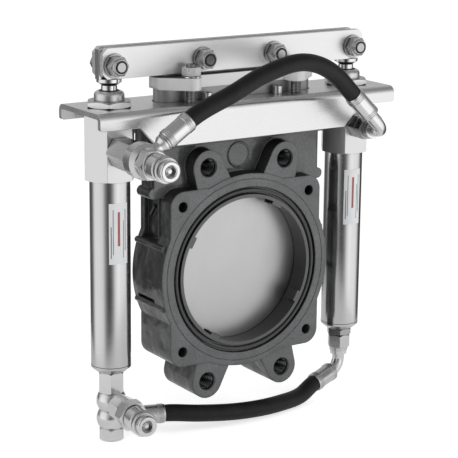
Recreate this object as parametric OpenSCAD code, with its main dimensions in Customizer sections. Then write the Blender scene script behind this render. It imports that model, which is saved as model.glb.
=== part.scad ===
// Wafer knife gate valve with two hydraulic cylinders, lugged for a DN 150 pipeline.
// The origin is the centre of the flow bore, halfway between the two faces.
// The flow runs along Y, the gate lifts along +Z and the cylinders stand on either side.

/* [Flow bore] */
// Bore of the valve
bore_d = 150; // [140:1:154]
// Distance between the two sealing faces
face_to_face = 58; // [56:1:64]

/* [Body] */
// Width and height of the square flange
flange_w = 180; // [178:1:186]
// Radius of the square flange's corners
flange_corner_r = 15; // [10:1:20]
// Diameter of the round flange
flange_disc_d = 200; // [196:1:206]
// Thickness of each flange plate beside the side pockets
flange_plate_t = 20; // [16:1:22]
// Width of the neck that guides the gate above the bore
neck_w = 204; // [200:1:206]
// Depth of the neck, front to back
neck_depth = 23; // [22:0.5:26]
// Height of the neck's top above the bore centre
neck_top = 171.3; // [168:0.1:176]
// Bolt circle of the pipeline flanges
bolt_circle_d = 240; // [238:1:244]
// Tapped hole in each lug
lug_hole_d = 17.6; // [16:0.1:19]
// Radius of each lug
lug_r = 17.5; // [16:0.5:19]
// How far the lug faces lie behind the flange faces
lug_step = 0.8; // [0.4:0.1:1.5]
// Width between the small corner holes
corner_hole_w = 152; // [148:1:154]
// Height between the small corner holes
corner_hole_h = 149; // [146:1:152]
// Diameter of the small corner holes
corner_hole_d = 10.5; // [8:0.5:11]
// Width of the packing box and the top flange that carries the mounting plate
top_flange_w = 208; // [206:1:214]
// Height of the top flange
top_flange_t = 18; // [16:1:22]

/* [Seats and seals] */
// Radial wall of the seat rings
seat_ring_t = 3.5; // [3:0.1:4]
// Length of the seat rings' front lip
seat_lip_l = 4.5; // [3:0.5:6]
// Reach of the four tabs into the bore
seat_tab_h = 3.5; // [2:0.5:5]
// Radial width of the flange seals
flange_seal_w = 4; // [3.6:0.1:4.6]
// Thickness of the flange seals
flange_seal_t = 3.6; // [3:0.1:4]
// Radial width of the gate seals
gate_seal_w = 3.1; // [2.5:0.1:3.5]
// Thickness of the gate seals
gate_seal_t = 4; // [3.5:0.1:5]

/* [Gate] */
// Width of the gate
gate_w = 166; // [164:1:168]
// Thickness of the gate
gate_t = 8; // [7:0.5:9]
// Lift from closed to open
stroke = 160; // [150:1:160]

/* [Packing and gland] */
// Thickness of the packing round the gate
packing_t = 8; // [7:0.5:8]
// Number of packing rings
packing_rings = 3; // [2:1:3]
// Height of one packing ring
packing_ring_h = 8; // [7:0.5:8]
// Height of the gland follower above the mounting plate
follower_over = 12.7; // [11:0.1:14]
// Thickness of the gland flange
gland_t = 12; // [10:0.5:13]
// Overall length of the gland flange
gland_l = 190; // [188:1:196]
// Depth of the gland flange between its ears
gland_mid_depth = 30; // [28:0.5:32]
// Distance between the gland studs along the gate
gland_stud_w = 125; // [124:0.5:127]
// Distance between the gland studs across the gate
gland_stud_depth = 43; // [42.5:0.5:46]
// Diameter of the gland studs
gland_stud_d = 10; // [8:1:10]
// Radius of the gland ears
gland_ear_r = 10; // [9:0.5:11]

/* [Mounting plate] */
// Length of the mounting plate
plate_l = 349; // [340:1:360]
// Depth of the mounting plate over its flanges
plate_depth = 82; // [80:1:86]
// Thickness of the mounting plate
plate_t = 5; // [4:0.5:5]
// Outer bend radius of the mounting plate
plate_bend_r = 7; // [6:0.5:9]
// Depth of the plate's flanges at the ends
plate_end_drop = 16; // [14:0.5:20]
// Depth of the plate's flanges in the middle
plate_mid_drop = 36.8; // [32:0.2:40]
// Length of the deep middle stretch of the flanges
plate_mid_l = 221; // [214:1:230]

/* [Crossbar] */
// Length of the two bars
bar_l = 308.6; // [304:0.2:316]
// Height of the bars
bar_h = 30; // [28:0.5:32]
// Thickness of each bar
bar_t = 6.5; // [6:0.5:7]
// Gap between the gland flange and the bars when the valve is closed
bar_clearance = 2.6; // [2:0.1:6]
// Chamfer on the bars' corners
bar_chamfer = 5; // [3:0.5:7]
// Distance between the two bolts through the gate
gate_bolt_w = 84.6; // [80:0.2:85]
// Diameter of the crossbar bolts
bar_bolt_d = 12; // [10:1:12]

/* [Cylinders] */
// Distance between the two cylinder axes
cylinder_w = 283.6; // [282:0.2:286]
// Outside diameter of the tubes
tube_od = 40; // [38:1:42]
// Bore of the tubes
tube_id = 32; // [30:1:32]
// Height of the tubes' lower end below the bore centre
tube_bottom = 82; // [80:0.5:84]
// Diameter of the piston rods
rod_d = 15.6; // [14:0.1:16]
// Length of the pistons
piston_l = 17; // [15:0.5:17]
// Width across the flats of the hexagonal heads
head_af = 46; // [44:0.5:48]
// Diameter of the head's threaded neck
head_neck_d = 29.5; // [28:0.5:31]
// Height of the threaded necks above the mounting plate
head_neck_over = 15.3; // [13:0.1:18]
// Width across the flats of the lock nuts
lock_nut_af = 41; // [38:1:44]
// Thickness of the lock nuts
lock_nut_t = 6.2; // [5:0.2:9]
// Height of the oil ports in the heads
port_z = 135.8; // [132:0.2:138]
// Turn of the heads and their oil ports about the cylinder axes
port_yaw = -4; // [-8:1:0]

/* [Hydraulic fittings] */
// Diameter of the hoses
hose_d = 17.5; // [15:0.5:18]
// Length of the crimped ferrules
ferrule_l = 31; // [28:1:33]
// Diameter of the crimped ferrules
ferrule_d = 19.4; // [18.4:0.2:20]
// Width across the flats of the large hexagons
large_hex_af = 27; // [24:1:30]
// Width across the flats of the small hexagons
small_hex_af = 24; // [22:1:27]
// Width across the flats of the swivel nuts and right-hand adaptors
nut_hex_af = 22; // [21:1:24]
// Diameter of the coupler noses
nose_d = 20.4; // [19.6:0.1:21]
// Length of the coupler noses
nose_l = 7; // [6.6:0.2:9]
// Travel of the poppets in the couplers
poppet_travel = 5; // [3:0.5:5]

/* [Hidden] */
$fn = 64;

// Clearances
gate_clearance = 0.5;
ring_clearance = 0.1;
seal_gap = 0.05;
thread_clearance = 0.1;
bolt_clearance = 0.3;
fit_clearance = 0.04;

// Body
face = face_to_face/2;
bore_r = bore_d/2;
slot_t = gate_t + 2*gate_clearance;
slot_r = gate_w/2 + 2*gate_clearance;
seat_ring_r = bore_r + seat_ring_t;
lug_angle = 22.5;
lug_x = bolt_circle_d/2*sin(lug_angle);
lug_z = bolt_circle_d/2*cos(lug_angle);
lug_spread = 26;
neck_corner_r = 6;
neck_bottom = 84;
neck_bead_reach = 3;
neck_bead_h = 11;
neck_bead_z = 87;
packing_wall = 8;
packing_box_h = 38;
pocket_depth = 5;
pocket_rear_wall = 7;
ledge_h = 6.5;
ledge_x = 98;
ledge_front = 5;
ledge_back = 1;
upper_ledge_z = 33;
lower_ledge_z = -28.5;
side_groove_h = 4;
side_groove_depth = 5;
ledge_root = 15;
bead_root = 12;
side_rib_at = 4;
side_rib_t = 4;
brace_at = 13;
brace_drop = 14;
brace_l = 14;
brace_t = 3;
brace_lean = 50;
badge_r = 13;
badge_z = 117;
badge_t = 0.8;
hole_chamfer = 1.2;
face_line_r = 94.4;
face_line_w = 0.6;
face_line_depth = 0.4;
seal_gap_in = 2;
seal_gap_out = 1.9;

// Packing and gland
plate_top = neck_top + plate_t;
chamber_l = gate_w + 2*packing_t + 0.8;
chamber_depth = gate_t + 2*packing_t + 0.8;
follower_play = 0.4;
follower_slot_play = 0.4;
packing_slot_play = 0.15;
gland_bottom = plate_top + follower_over;
gland_top = gland_bottom + gland_t;
follower_l = 24.8;
follower_bottom = gland_bottom - follower_l;
packing_gap = 0.1;
chamber_bottom = follower_bottom - packing_rings*packing_ring_h - 2*packing_gap;
plate_opening_play = 0.8;
plate_corner_r = 3;
gland_end_r = 15;
gland_end_chamfer = 3.5;
tangent_inset = 0.03;
gland_washer_t = 1.6;
gland_washer_d = 19;
gland_nut_t = 8.4;
gland_nut_af = 16;
gland_stud_depth_in_body = 14;
gland_stud_over = 3;
screw_head_d = 10;
screw_head_h = 8;
screw_d = 6;
screw_grip = 12;
screw_w = 84;
screw_depth = 38;

// Crossbar
bar_bottom = gland_top + bar_clearance;
bar_gap = gate_t;
bar_front = bar_gap/2 + bar_t;
bolt_z = bar_bottom + bar_h/2 - 2;
bar_washer_t = 2.2;
bar_washer_d = 23;
bar_nut_af = 18;
bar_nut_t = 8.6;
bar_nut_collar_t = 3;
bolt_head_t = 7.5;
bolt_xs = [-cylinder_w/2, -gate_bolt_w/2, gate_bolt_w/2, cylinder_w/2];

// Cylinders
cylinder_x = cylinder_w/2;
cap_straight = 2.5;
cap_cone_h = 5.5;
cap_bottom = tube_bottom + cap_straight + cap_cone_h;
cap_end_d = 27;
plug_l = 4;
bottom_port_d = 13.2;
bottom_port_depth = 9;
oil_bore_d = 7;
piston_bottom = tube_bottom - plug_l - 1;
stroke_reserve = 1;
tube_top = piston_l + stroke + stroke_reserve + plug_l - piston_bottom;
rod_spigot_d = 12;
head_bore_d = 20;
neck_round_r = 4.2;
bush_bottom = 150;
head_neck_top = plate_top + head_neck_over;
bush_top = head_neck_top - 6;
wiper_over = 0.3;
rod_collar_d = 24.6;
rod_collar_h = 3.4;
rod_flare_h = 3.4;
rod_tongue_w = 26;
tongue_play = 0.1;
piston_groove_depth = 2.5;
piston_chamfer = 1;
piston_land = 5;
piston_seal_w = 3;
guide_ring_w = 2;
guide_land = 3;
head_chamfer = 1.5;
head_port_d = 18.2;
head_port_depth = 10;

// Port stack of the left head, measured forwards from the cylinder axis
head_face = head_af/2;
adaptor_hex_l = 36.5;
bonded_seal_t = 2;
bonded_seal_d = 29;
upper_eye_w = 20;
upper_eye_d = 35;
upper_eye_round = 3.5;
stack_seal_a = head_face + adaptor_hex_l;
stack_eye = stack_seal_a + bonded_seal_t;
stack_eye_mid = stack_eye + upper_eye_w/2;
stack_seal_b = stack_eye + upper_eye_w;
stack_nipple = stack_seal_b + bonded_seal_t;
stud_d = 18;
stud_grip = 7;

// Coupler nipple, measured from its base
nipple_hex_l = 14;
nipple_body_d = 25;
nipple_body_l = 17;
nipple_groove_d = 20;
nipple_groove_l = 4;
nipple_ring_l = 3;
nose_start = nipple_hex_l + nipple_body_l + nipple_groove_l + nipple_ring_l;
nipple_l = nose_start + nose_l;
nose_round_r = 1.8;
nose_recess_d = 10.8;
nose_recess_l = 6;
poppet_seat_d = 7.4;
poppet_seat_l = 4;
poppet_chamber_d = 14;
poppet_tip_d = 7;
poppet_head_d = 13;
poppet_head_l = 5;
poppet_guide_d = 6;
poppet_guide_l = 9;
poppet_chamber_l = poppet_head_l + poppet_guide_l + poppet_travel + 3;
poppet_recess = 2.2;

// Upper hose ends
upper_stem_angle = 35;
upper_stem_d = 12;
upper_ferrule_start = 29;
right_adaptor_l = 13.5;
nut_gap = 0.5;
swivel_nut_l = 10;
nut_collar_l = 4;
nut_collar_d = 19.6;
nut_wall = 3;
cone_d = 16;
elbow_collar_l = 4;
elbow_collar_d = 18;
elbow_neck = 4;
elbow_d = 13;
upper_elbow_r = 18;
upper_elbow_angle = 134;
upper_elbow_straight = 10;

// Lower left stack, measured upwards from the bore centre
lower_adaptor_l = 21.7;
lower_eye_h = 18.5;
lower_eye_d = 28;
lower_bolt_head_h = 12.3;
lower_eye_a = -cap_bottom - lower_adaptor_l;
lower_eye_b = lower_eye_a - lower_eye_h;
lower_bolt_head = lower_eye_b - lower_eye_h;
lower_coupler_z = lower_eye_a - lower_eye_h/2;
lower_hose_z = lower_eye_b - lower_eye_h/2;
lower_coupler_base = 42;
lower_coupler_yaw = -6;
lower_coupler_hex_at = 21;
lower_bolt_d = 16;
lower_hose_yaw = -19;
lower_ferrule_start = 23;
lower_stem_d = 12;

// Lower right stack
lower_right_adaptor_l = 7;
lower_nut_l = 14;
lower_elbow_r = 14;
lower_elbow_bend = 78;
lower_elbow_turn = 164;
lower_elbow_neck = 1.5;

// Directions and ends of the hoses
function unit(v) = v/norm(v);
function level(angle) = [cos(angle)*cos(port_yaw), cos(angle)*sin(port_yaw), sin(angle)];
port_ahead = [sin(port_yaw), -cos(port_yaw), 0];

upper_eye_at = [-cylinder_x, 0, port_z] + stack_eye_mid*port_ahead;
upper_start_dir = level(upper_stem_angle);
upper_start = upper_eye_at + (upper_ferrule_start + ferrule_l)*upper_start_dir;

right_nut_at = head_face + right_adaptor_l + nut_gap;
right_elbow_at = right_nut_at + swivel_nut_l + nut_collar_l + elbow_collar_l + elbow_neck;
upper_end_dir = level(upper_elbow_angle);
upper_elbow_corner = [cylinder_x, 0, port_z] + (right_elbow_at + upper_elbow_r)*port_ahead;
upper_elbow_end = upper_elbow_corner + upper_elbow_r*upper_end_dir;
upper_end = upper_elbow_end + (upper_elbow_straight + ferrule_l)*upper_end_dir;

lower_start_dir = [cos(lower_hose_yaw), sin(lower_hose_yaw), 0];
lower_start = [-cylinder_x, 0, lower_hose_z] + (lower_ferrule_start + ferrule_l)*lower_start_dir;

lower_nut_at = lower_right_adaptor_l + nut_gap;
lower_elbow_at = lower_nut_at + lower_nut_l + nut_collar_l + elbow_collar_l + elbow_neck;
lower_out = [cos(lower_elbow_turn), -sin(lower_elbow_turn), 0];
lower_end_dir = sin(lower_elbow_bend)*lower_out - [0, 0, cos(lower_elbow_bend)];
lower_elbow_drop = cap_bottom + lower_elbow_at + lower_elbow_r*sin(lower_elbow_bend);
lower_elbow_end = [cylinder_x, 0, -lower_elbow_drop] + lower_elbow_r*(1 - cos(lower_elbow_bend))*lower_out;
lower_end = lower_elbow_end + (lower_elbow_neck + ferrule_l)*lower_end_dir;

// Free stretches of the two hoses
upper_route = [[-49, -76, 192], [-15, -77, 207], [28, -77, 216], [63, -76, 206]];
lower_route = [[-56, -28, -143], [-20, -33, -147], [14, -32, -150], [48, -26, -152], [78, -18, -152]];
hose_sides = 12;
hose_steps = 5;

// Shared shapes

// Extrudes an outline drawn in the XZ plane from y = from to y = to
module along_y(from, to) {
    translate([0, to, 0]) rotate([90, 0, 0]) linear_extrude(to - from) children();
}

// Frame whose Z axis runs forwards out of a head's port, Y upwards
module port_frame(x) {
    translate([x, 0, port_z]) rotate([0, 0, port_yaw]) rotate([90, 0, 0]) children();
}

// Frame whose Z axis runs sideways from the present Z axis, at an angle in the XY plane
module sideways(angle) {
    rotate([0, 0, angle]) rotate([0, 90, 0]) children();
}

// Hexagon prism with its two ends turned to a cone
module hex(af, h, chamfer = 1.2) {
    intersection() {
        cylinder(d = af/cos(30), h = h, $fn = 6);
        rotate_extrude() polygon([[0, 0], [af/2 - 0.2, 0], [af/2/cos(30) + 0.1, chamfer],
            [af/2/cos(30) + 0.1, h - chamfer], [af/2 - 0.2, h], [0, h]]);
    }
}

// Ring between two diameters
module ring(od, id, h) {
    difference() {
        cylinder(d = od, h = h);
        translate([0, 0, -1]) cylinder(d = id, h = h + 2);
    }
}

// Elbow along Z with a straight start of its own and a bend that turns towards +X
module elbow(start, bend_at, radius, angle, neck, d) {
    translate([0, 0, start]) cylinder(d = d, h = bend_at - start);
    translate([radius, 0, bend_at]) mirror([1, 0, 0]) rotate([90, 0, 0])
        rotate_extrude(angle = angle) translate([radius, 0]) circle(d = d);
    translate([0, 0, bend_at]) after_bend(radius, angle) translate([0, 0, -0.5])
        cylinder(d = d + 0.8, h = neck + 0.5);
}

// Frame at the end of such a bend
module after_bend(radius, angle) {
    translate([radius*(1 - cos(angle)), 0, radius*sin(angle)]) rotate([0, angle, 0]) children();
}

// Crimped ferrule, its hose end at the far end of Z
module ferrule() {
    r = ferrule_d/2;
    step = ferrule_l/8;
    rotate_extrude() polygon([[4, 0], [r - 2, 0], [r + 0.5, 1.5], [r + 0.5, 3], [r, 3.5],
        [r, step*2],
        [r - 0.5, step*2 + 0.6], [r - 0.5, step*2 + 1.8], [r, step*2 + 2.4], [r, ferrule_l - 6],
        [r - 0.4, ferrule_l - 5.4], [r - 0.4, ferrule_l - 4.4], [r, ferrule_l - 3.8],
        [r + 0.4, ferrule_l - 2],
        [r + 0.4, ferrule_l - 0.6], [r - 0.2, ferrule_l], [4, ferrule_l]]);
}

// Point and direction along a smooth line through the points, with given directions at both ends
function tangent_at(p, i, first, last) = i == 0 ? first : i == len(p) - 1 ? last : unit(p[i + 1] - p[i - 1]);
function hermite(a, ta, b, tb, t) = let (l = norm(b - a))
    (2*t*t*t - 3*t*t + 1)*a + (t*t*t - 2*t*t + t)*l*ta + (3*t*t - 2*t*t*t)*b + (t*t*t - t*t)*l*tb;
function smooth_line(p, first, last, steps) = [
    for (i = [0:len(p) - 2]) for (k = [0:steps - 1])
        hermite(p[i], tangent_at(p, i, first, last), p[i + 1], tangent_at(p, i + 1, first, last), k/steps),
    p[len(p) - 1]];

// Closed tube of a given diameter along a line that never runs along Y
module sweep(line, first, last, d) {
    n = len(line);
    dirs = [for (i = [0:n - 1]) tangent_at(line, i, first, last)];
    points = [for (i = [0:n - 1]) let (a = unit(cross(dirs[i], [0, 1, 0])), b = cross(dirs[i], a))
        for (k = [0:hose_sides - 1]) line[i] + d/2*(cos(360*k/hose_sides)*a + sin(360*k/hose_sides)*b)];
    walls = [for (i = [0:n - 2]) for (k = [0:hose_sides - 1]) let (next = (k + 1)%hose_sides)
        [i*hose_sides + k, i*hose_sides + next, (i + 1)*hose_sides + next, (i + 1)*hose_sides + k]];
    ends = [[for (k = [hose_sides - 1:-1:0]) k], [for (k = [0:hose_sides - 1]) (n - 1)*hose_sides + k]];
    polyhedron(points = points, faces = concat(walls, ends));
}

// Direction from both centres to the common tangent of two circles, on side s
function tangent_normal(c1, r1, c2, r2, s) =
    let (v = c2 - c1, a = atan2(v[1], v[0]) + s*acos((r1 - r2)/norm(v)))
    [cos(a), sin(a)];

// Point where a line from outside point p touches the circle at c, on side s
function tangent_point(p, c, r, s) = let (v = p - c, a = atan2(v[1], v[0]) + s*acos(r/norm(v)))
    c + r*[cos(a), sin(a)];

// Body

module rounded_rectangle(w, h, r) {
    square([w - 2*r, h], center = true);
    square([w, h - 2*r], center = true);
    for (x = [-1, 1], y = [-1, 1]) translate([x*(w/2 - r), y*(h/2 - r)]) circle(r = r);
}

module flange_outline() {
    rounded_rectangle(flange_w, flange_w, flange_corner_r);
    circle(d = flange_disc_d, $fn = 128);
}

// One lug of the right-hand upper corner, its web spread towards the bore
module lug_outline() {
    c = [lug_x, lug_z];
    outer = [lug_x + 12, flange_w/2 - 4];
    inner = [lug_x - lug_spread, flange_disc_d/2*cos(12)];
    translate(c) circle(r = lug_r);
    polygon([outer, tangent_point(outer, c, lug_r, 1), c, tangent_point(inner, c, lug_r, -1), inner,
        [lug_x - lug_spread, flange_w/2 - 4]]);
}

module each_corner() {
    for (x = [0, 1], z = [0, 1]) mirror([x, 0]) mirror([0, z]) children();
}

// Pocket above the upper ledge and groove above the lower one, on the left side
module side_pocket() {
    front = -face + flange_plate_t;
    depth = face_to_face - flange_plate_t - pocket_rear_wall;
    low = upper_ledge_z + ledge_h/2;
    translate([-flange_disc_d/2 - 1, front, low])
        cube([flange_disc_d/2 - flange_w/2 + pocket_depth + 1, depth, neck_bottom - low]);
    translate([-flange_disc_d/2 - 1, front, lower_ledge_z + ledge_h/2])
        cube([flange_disc_d/2 - ledge_x + side_groove_depth + 3, depth, side_groove_h]);
}

module side_ribs() {
    front = -face + flange_plate_t;
    pocket_x = -flange_w/2 + 1;
    ledge_l = face_to_face - ledge_front - ledge_back;
    for (z = [upper_ledge_z, lower_ledge_z]) translate([ledge_h/2 - ledge_x, face - ledge_back, z])
        rotate([90, 0, 0]) {
            cylinder(d = ledge_h, h = ledge_l);
            translate([0, -ledge_h/2, 0]) cube([ledge_root, ledge_h, ledge_l]);
        }
    translate([pocket_x, front + side_rib_at, upper_ledge_z])
        cube([pocket_depth, side_rib_t, neck_bottom - upper_ledge_z]);
    translate([pocket_x, front + brace_at, neck_bottom - brace_drop]) rotate([-brace_lean, 0, 0])
        cube([pocket_depth, brace_l, brace_t]);
    translate([-neck_w/2 + neck_bead_h/2 - neck_bead_reach, neck_depth/2, neck_bead_z]) rotate([90, 0, 0]) {
        cylinder(d = neck_bead_h, h = neck_depth);
        translate([0, -neck_bead_h/2, 0]) cube([bead_root, neck_bead_h, neck_depth]);
    }
}

// Upright block with round corners that reaches up to the neck's top
module upright(w, depth, bottom) {
    translate([0, 0, bottom]) linear_extrude(neck_top - bottom) rounded_rectangle(w, depth, neck_corner_r);
}

module body_casting() {
    color("#4a4c4e") difference() {
        union() {
            difference() {
                along_y(-face, face) flange_outline();
                for (s = [0, 1]) mirror([s, 0, 0]) side_pocket();
            }
            along_y(-face + lug_step, face - lug_step) each_corner() lug_outline();
            upright(neck_w, neck_depth, neck_bottom);
            upright(top_flange_w, chamber_depth + 2*packing_wall, neck_top - packing_box_h);
            translate([-top_flange_w/2, -plate_depth/2 + plate_bend_r, neck_top - top_flange_t])
                cube([top_flange_w, plate_depth - 2*plate_bend_r, top_flange_t]);
            for (s = [0, 1]) mirror([s, 0, 0]) side_ribs();
            translate([0, 0, badge_z]) rotate([90, 0, 0]) cylinder(r = badge_r, h = neck_depth/2 + badge_t);
        }
        gate_slot();
        seat_bores();
        long_hole(chamber_l, chamber_depth, chamber_bottom, neck_top + 1);
        each_corner_3d(lug_x, lug_z) tapped_hole(lug_hole_d);
        each_corner_3d(corner_hole_w/2, corner_hole_h/2) rotate([90, 0, 0])
            cylinder(d = corner_hole_d, h = face_to_face + 2, center = true);
        gland_stud_places() translate([0, 0, neck_top - gland_stud_depth_in_body - 0.5])
            cylinder(d = gland_stud_d + 2*thread_clearance, h = 40);
        plate_screw_places() translate([0, 0, neck_top - screw_grip - 0.5])
            cylinder(d = screw_d + 2*thread_clearance, h = 40);
    }
}

module each_corner_3d(x, z) {
    for (i = [-1, 1], k = [-1, 1]) translate([i*x, 0, k*z]) children();
}

// Through hole along Y with a chamfer at each lug face
module tapped_hole(d) {
    half = face - lug_step;
    rotate([90, 0, 0]) cylinder(d = d, h = face_to_face + 2, center = true);
    for (s = [0, 1]) mirror([0, s, 0]) translate([0, -half + hole_chamfer, 0]) rotate([90, 0, 0])
        cylinder(d1 = d, d2 = d + 4*hole_chamfer, h = 2*hole_chamfer);
}

// Slot in which the gate slides, round at the bottom
module gate_slot() {
    rotate([90, 0, 0]) cylinder(r = slot_r, h = slot_t, center = true, $fn = 128);
    translate([-slot_r, -slot_t/2, 0]) cube([2*slot_r, slot_t, neck_top + 1]);
}

// Bore, seat ring pockets, gate seal grooves and flange seal grooves on both sides
module seat_bores() {
    seal_r = seat_ring_r + 2*ring_clearance + gate_seal_w;
    groove_r = seat_ring_r + seal_gap_in + flange_seal_w + seal_gap_out;
    rotate([90, 0, 0]) cylinder(r = bore_r, h = face_to_face + 2, center = true, $fn = 128);
    for (s = [0, 1]) mirror([0, s, 0]) rotate([90, 0, 0]) {
        translate([0, 0, slot_t/2 - 1])
            cylinder(r = seat_ring_r + ring_clearance, h = face, $fn = 128);
        translate([0, 0, slot_t/2 - 1]) cylinder(r = seal_r, h = gate_seal_t + 0.9, $fn = 128);
        translate([0, 0, face - flange_seal_t - 0.4])
            cylinder(r = groove_r, h = flange_seal_t + 2, $fn = 128);
        translate([0, 0, face - face_line_depth])
            ring_fine(face_line_r + face_line_w/2, face_line_r - face_line_w/2, 1);
    }
}

// Slot with round ends along X, standing on z = from
module long_hole(l, depth, from, to) {
    translate([0, 0, from]) linear_extrude(to - from) {
        square([l - depth, depth], center = true);
        for (s = [-1, 1]) translate([s*(l - depth)/2, 0]) circle(d = depth, $fn = 48);
    }
}

// Seats and seals, drawn for the front side

module seat_ring() {
    inner = slot_t/2 + ring_clearance;
    outer = face - 0.4;
    lip = outer - seat_lip_l;
    rotate([90, 0, 0]) union() {
        rotate_extrude($fn = 128) polygon([[bore_r, outer], [seat_ring_r, outer], [seat_ring_r, inner],
            [bore_r + 1.5, inner], [bore_r + 1.5, lip], [bore_r, lip]]);
        for (a = [60:90:330]) rotate([0, 0, a]) translate([0, 0, lip - 10])
            intersection() {
                difference() {
                    cylinder(r = bore_r + 2, h = 8, $fn = 128);
                    translate([0, 0, -1]) cylinder(r = bore_r - seat_tab_h, h = 10, $fn = 128);
                }
                translate([bore_r - seat_tab_h - 2, -6, 0]) cube([seat_tab_h + 6, 12, 8]);
            }
    }
}

module gate_seal() {
    inner_r = seat_ring_r + ring_clearance;
    translate([0, -gate_t/2 - seal_gap, 0]) rotate([90, 0, 0])
        ring_fine(inner_r + gate_seal_w, inner_r + 0.1, gate_seal_t);
}

module flange_seal() {
    inner_r = seat_ring_r + seal_gap_in;
    translate([0, -face + flange_seal_t + 0.2, 0]) rotate([90, 0, 0])
        ring_fine(inner_r + flange_seal_w, inner_r, flange_seal_t);
}

module ring_fine(r_out, r_in, h) {
    difference() {
        cylinder(r = r_out, h = h, $fn = 128);
        translate([0, 0, -1]) cylinder(r = r_in, h = h + 2, $fn = 128);
    }
}

module seat_ring_front() {
    color("#6d6f70") seat_ring();
}

module seat_ring_rear() {
    color("#6d6f70") mirror([0, 1, 0]) seat_ring();
}

module gate_seal_front() {
    color("#1c1c1c") gate_seal();
}

module gate_seal_rear() {
    color("#1c1c1c") mirror([0, 1, 0]) gate_seal();
}

module flange_seal_front() {
    color("#3a3c3e") flange_seal();
}

module flange_seal_rear() {
    color("#3a3c3e") mirror([0, 1, 0]) flange_seal();
}

// Gate

module gate() {
    color("#c9cacb") difference() {
        union() {
            rotate([90, 0, 0]) cylinder(d = gate_w, h = gate_t, center = true, $fn = 128);
            translate([-gate_w/2, -gate_t/2, 0]) cube([gate_w, gate_t, bar_bottom + bar_h - 1]);
        }
        for (x = [-gate_bolt_w/2, gate_bolt_w/2]) bolt_hole(x);
    }
}

// Packing and gland

module packing() {
    color("#8d8a80") for (i = [0:packing_rings - 1])
        translate([0, 0, chamber_bottom + 0.1 + i*packing_ring_h]) packing_ring();
}

module packing_ring() {
    difference() {
        long_hole(chamber_l - 2*ring_clearance, chamber_depth - 2*ring_clearance, 0, packing_ring_h - 0.05);
        gate_opening(packing_slot_play, -1, packing_ring_h + 1);
    }
}

// Opening for the gate with the given play on each side
module gate_opening(play, from, to) {
    translate([-gate_w/2 - play, -gate_t/2 - play, from]) cube([gate_w + 2*play, gate_t + 2*play, to - from]);
}

module gland_follower() {
    color("#a9abac") difference() {
        long_hole(chamber_l - 2*follower_play, chamber_depth - 2*follower_play,
            follower_bottom, gland_bottom);
        gate_opening(follower_slot_play, follower_bottom - 1, gland_bottom + 1);
    }
}

module gland_stud_places() {
    for (x = [-1, 1], y = [-1, 1]) translate([x*gland_stud_w/2, y*gland_stud_depth/2, 0]) children();
}

module plate_screw_places() {
    for (x = [-1, 1], y = [-1, 1]) translate([x*screw_w/2, y*screw_depth/2, 0]) children();
}

// One end of the gland flange with its two ears
module gland_end_outline() {
    end = [gland_l/2 - gland_end_r, 0];
    ear = [gland_stud_w/2, gland_stud_depth/2];
    n = tangent_normal(end, gland_end_r, ear, gland_ear_r, -1);
    inner = ear[0] - gland_ear_r + tangent_inset;
    top = ear + (gland_ear_r - tangent_inset)*n;
    tip = end + (gland_end_r - tangent_inset)*n;
    translate(end) circle(r = gland_end_r, $fn = 48);
    for (y = [-1, 1]) translate([ear[0], y*ear[1]]) circle(r = gland_ear_r, $fn = 48);
    polygon([tip, top, [inner, ear[1]], [inner, -ear[1]], [top[0], -top[1]], [tip[0], -tip[1]]]);
}

module gland_flange() {
    color("#b4b6b8") difference() {
        translate([0, 0, gland_bottom]) linear_extrude(gland_t) {
            square([gland_stud_w, gland_mid_depth], center = true);
            for (s = [0, 1]) mirror([s, 0]) gland_end_outline();
        }
        for (s = [0, 1]) mirror([s, 0, 0]) translate([gland_l/2 - gland_end_chamfer, -20, gland_bottom])
            rotate([0, -45, 0]) translate([-5, 0, -10]) cube([20, 40, 10]);
        gate_opening(follower_slot_play, gland_bottom - 1, gland_top + 1);
        gland_stud_places() translate([0, 0, gland_bottom - 1])
            cylinder(d = gland_stud_d + 2*bolt_clearance, h = gland_t + 2);
    }
}

module gland_studs() {
    bottom = neck_top - gland_stud_depth_in_body;
    top = gland_top + gland_washer_t + gland_nut_t + gland_stud_over;
    color("#c2c3c4") gland_stud_places() translate([0, 0, bottom])
        cylinder(d = gland_stud_d, h = top - bottom);
}

module gland_washers() {
    color("#c8c9ca") gland_stud_places() translate([0, 0, gland_top])
        ring(gland_washer_d, gland_stud_d + bolt_clearance, gland_washer_t);
}

module gland_nuts() {
    color("#d2d3d4") gland_stud_places() translate([0, 0, gland_top + gland_washer_t]) difference() {
        rotate([0, 0, 30]) hex(gland_nut_af, gland_nut_t, 1);
        translate([0, 0, -1]) cylinder(d = gland_stud_d + thread_clearance, h = gland_nut_t + 2);
    }
}

// Mounting plate

module plate_flange_outline() {
    top = plate_top - plate_bend_r;
    mid = plate_top - plate_mid_drop;
    low = plate_top - plate_end_drop;
    slope = plate_mid_drop - plate_end_drop;
    r = plate_corner_r;
    polygon([[-plate_l/2, top], [-plate_l/2, low + r], [-plate_l/2 + r, low], [-plate_mid_l/2 - slope, low],
        [-plate_mid_l/2, mid], [plate_mid_l/2, mid], [plate_mid_l/2 + slope, low], [plate_l/2 - r, low],
        [plate_l/2, low + r], [plate_l/2, top]]);
    for (s = [-1, 1]) translate([s*(plate_l/2 - r), low + r]) circle(r = r);
}

module plate_bend() {
    translate([-plate_l/2, -plate_depth/2 + plate_bend_r, plate_top - plate_bend_r])
        rotate([90, 0, 90]) rotate([0, 0, 90]) rotate_sector();
}

// Quarter of a tube that joins the top sheet to a flange
module rotate_sector() {
    linear_extrude(plate_l) intersection() {
        difference() {
            circle(r = plate_bend_r);
            circle(r = plate_bend_r - plate_t);
        }
        square(plate_bend_r);
    }
}

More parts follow.
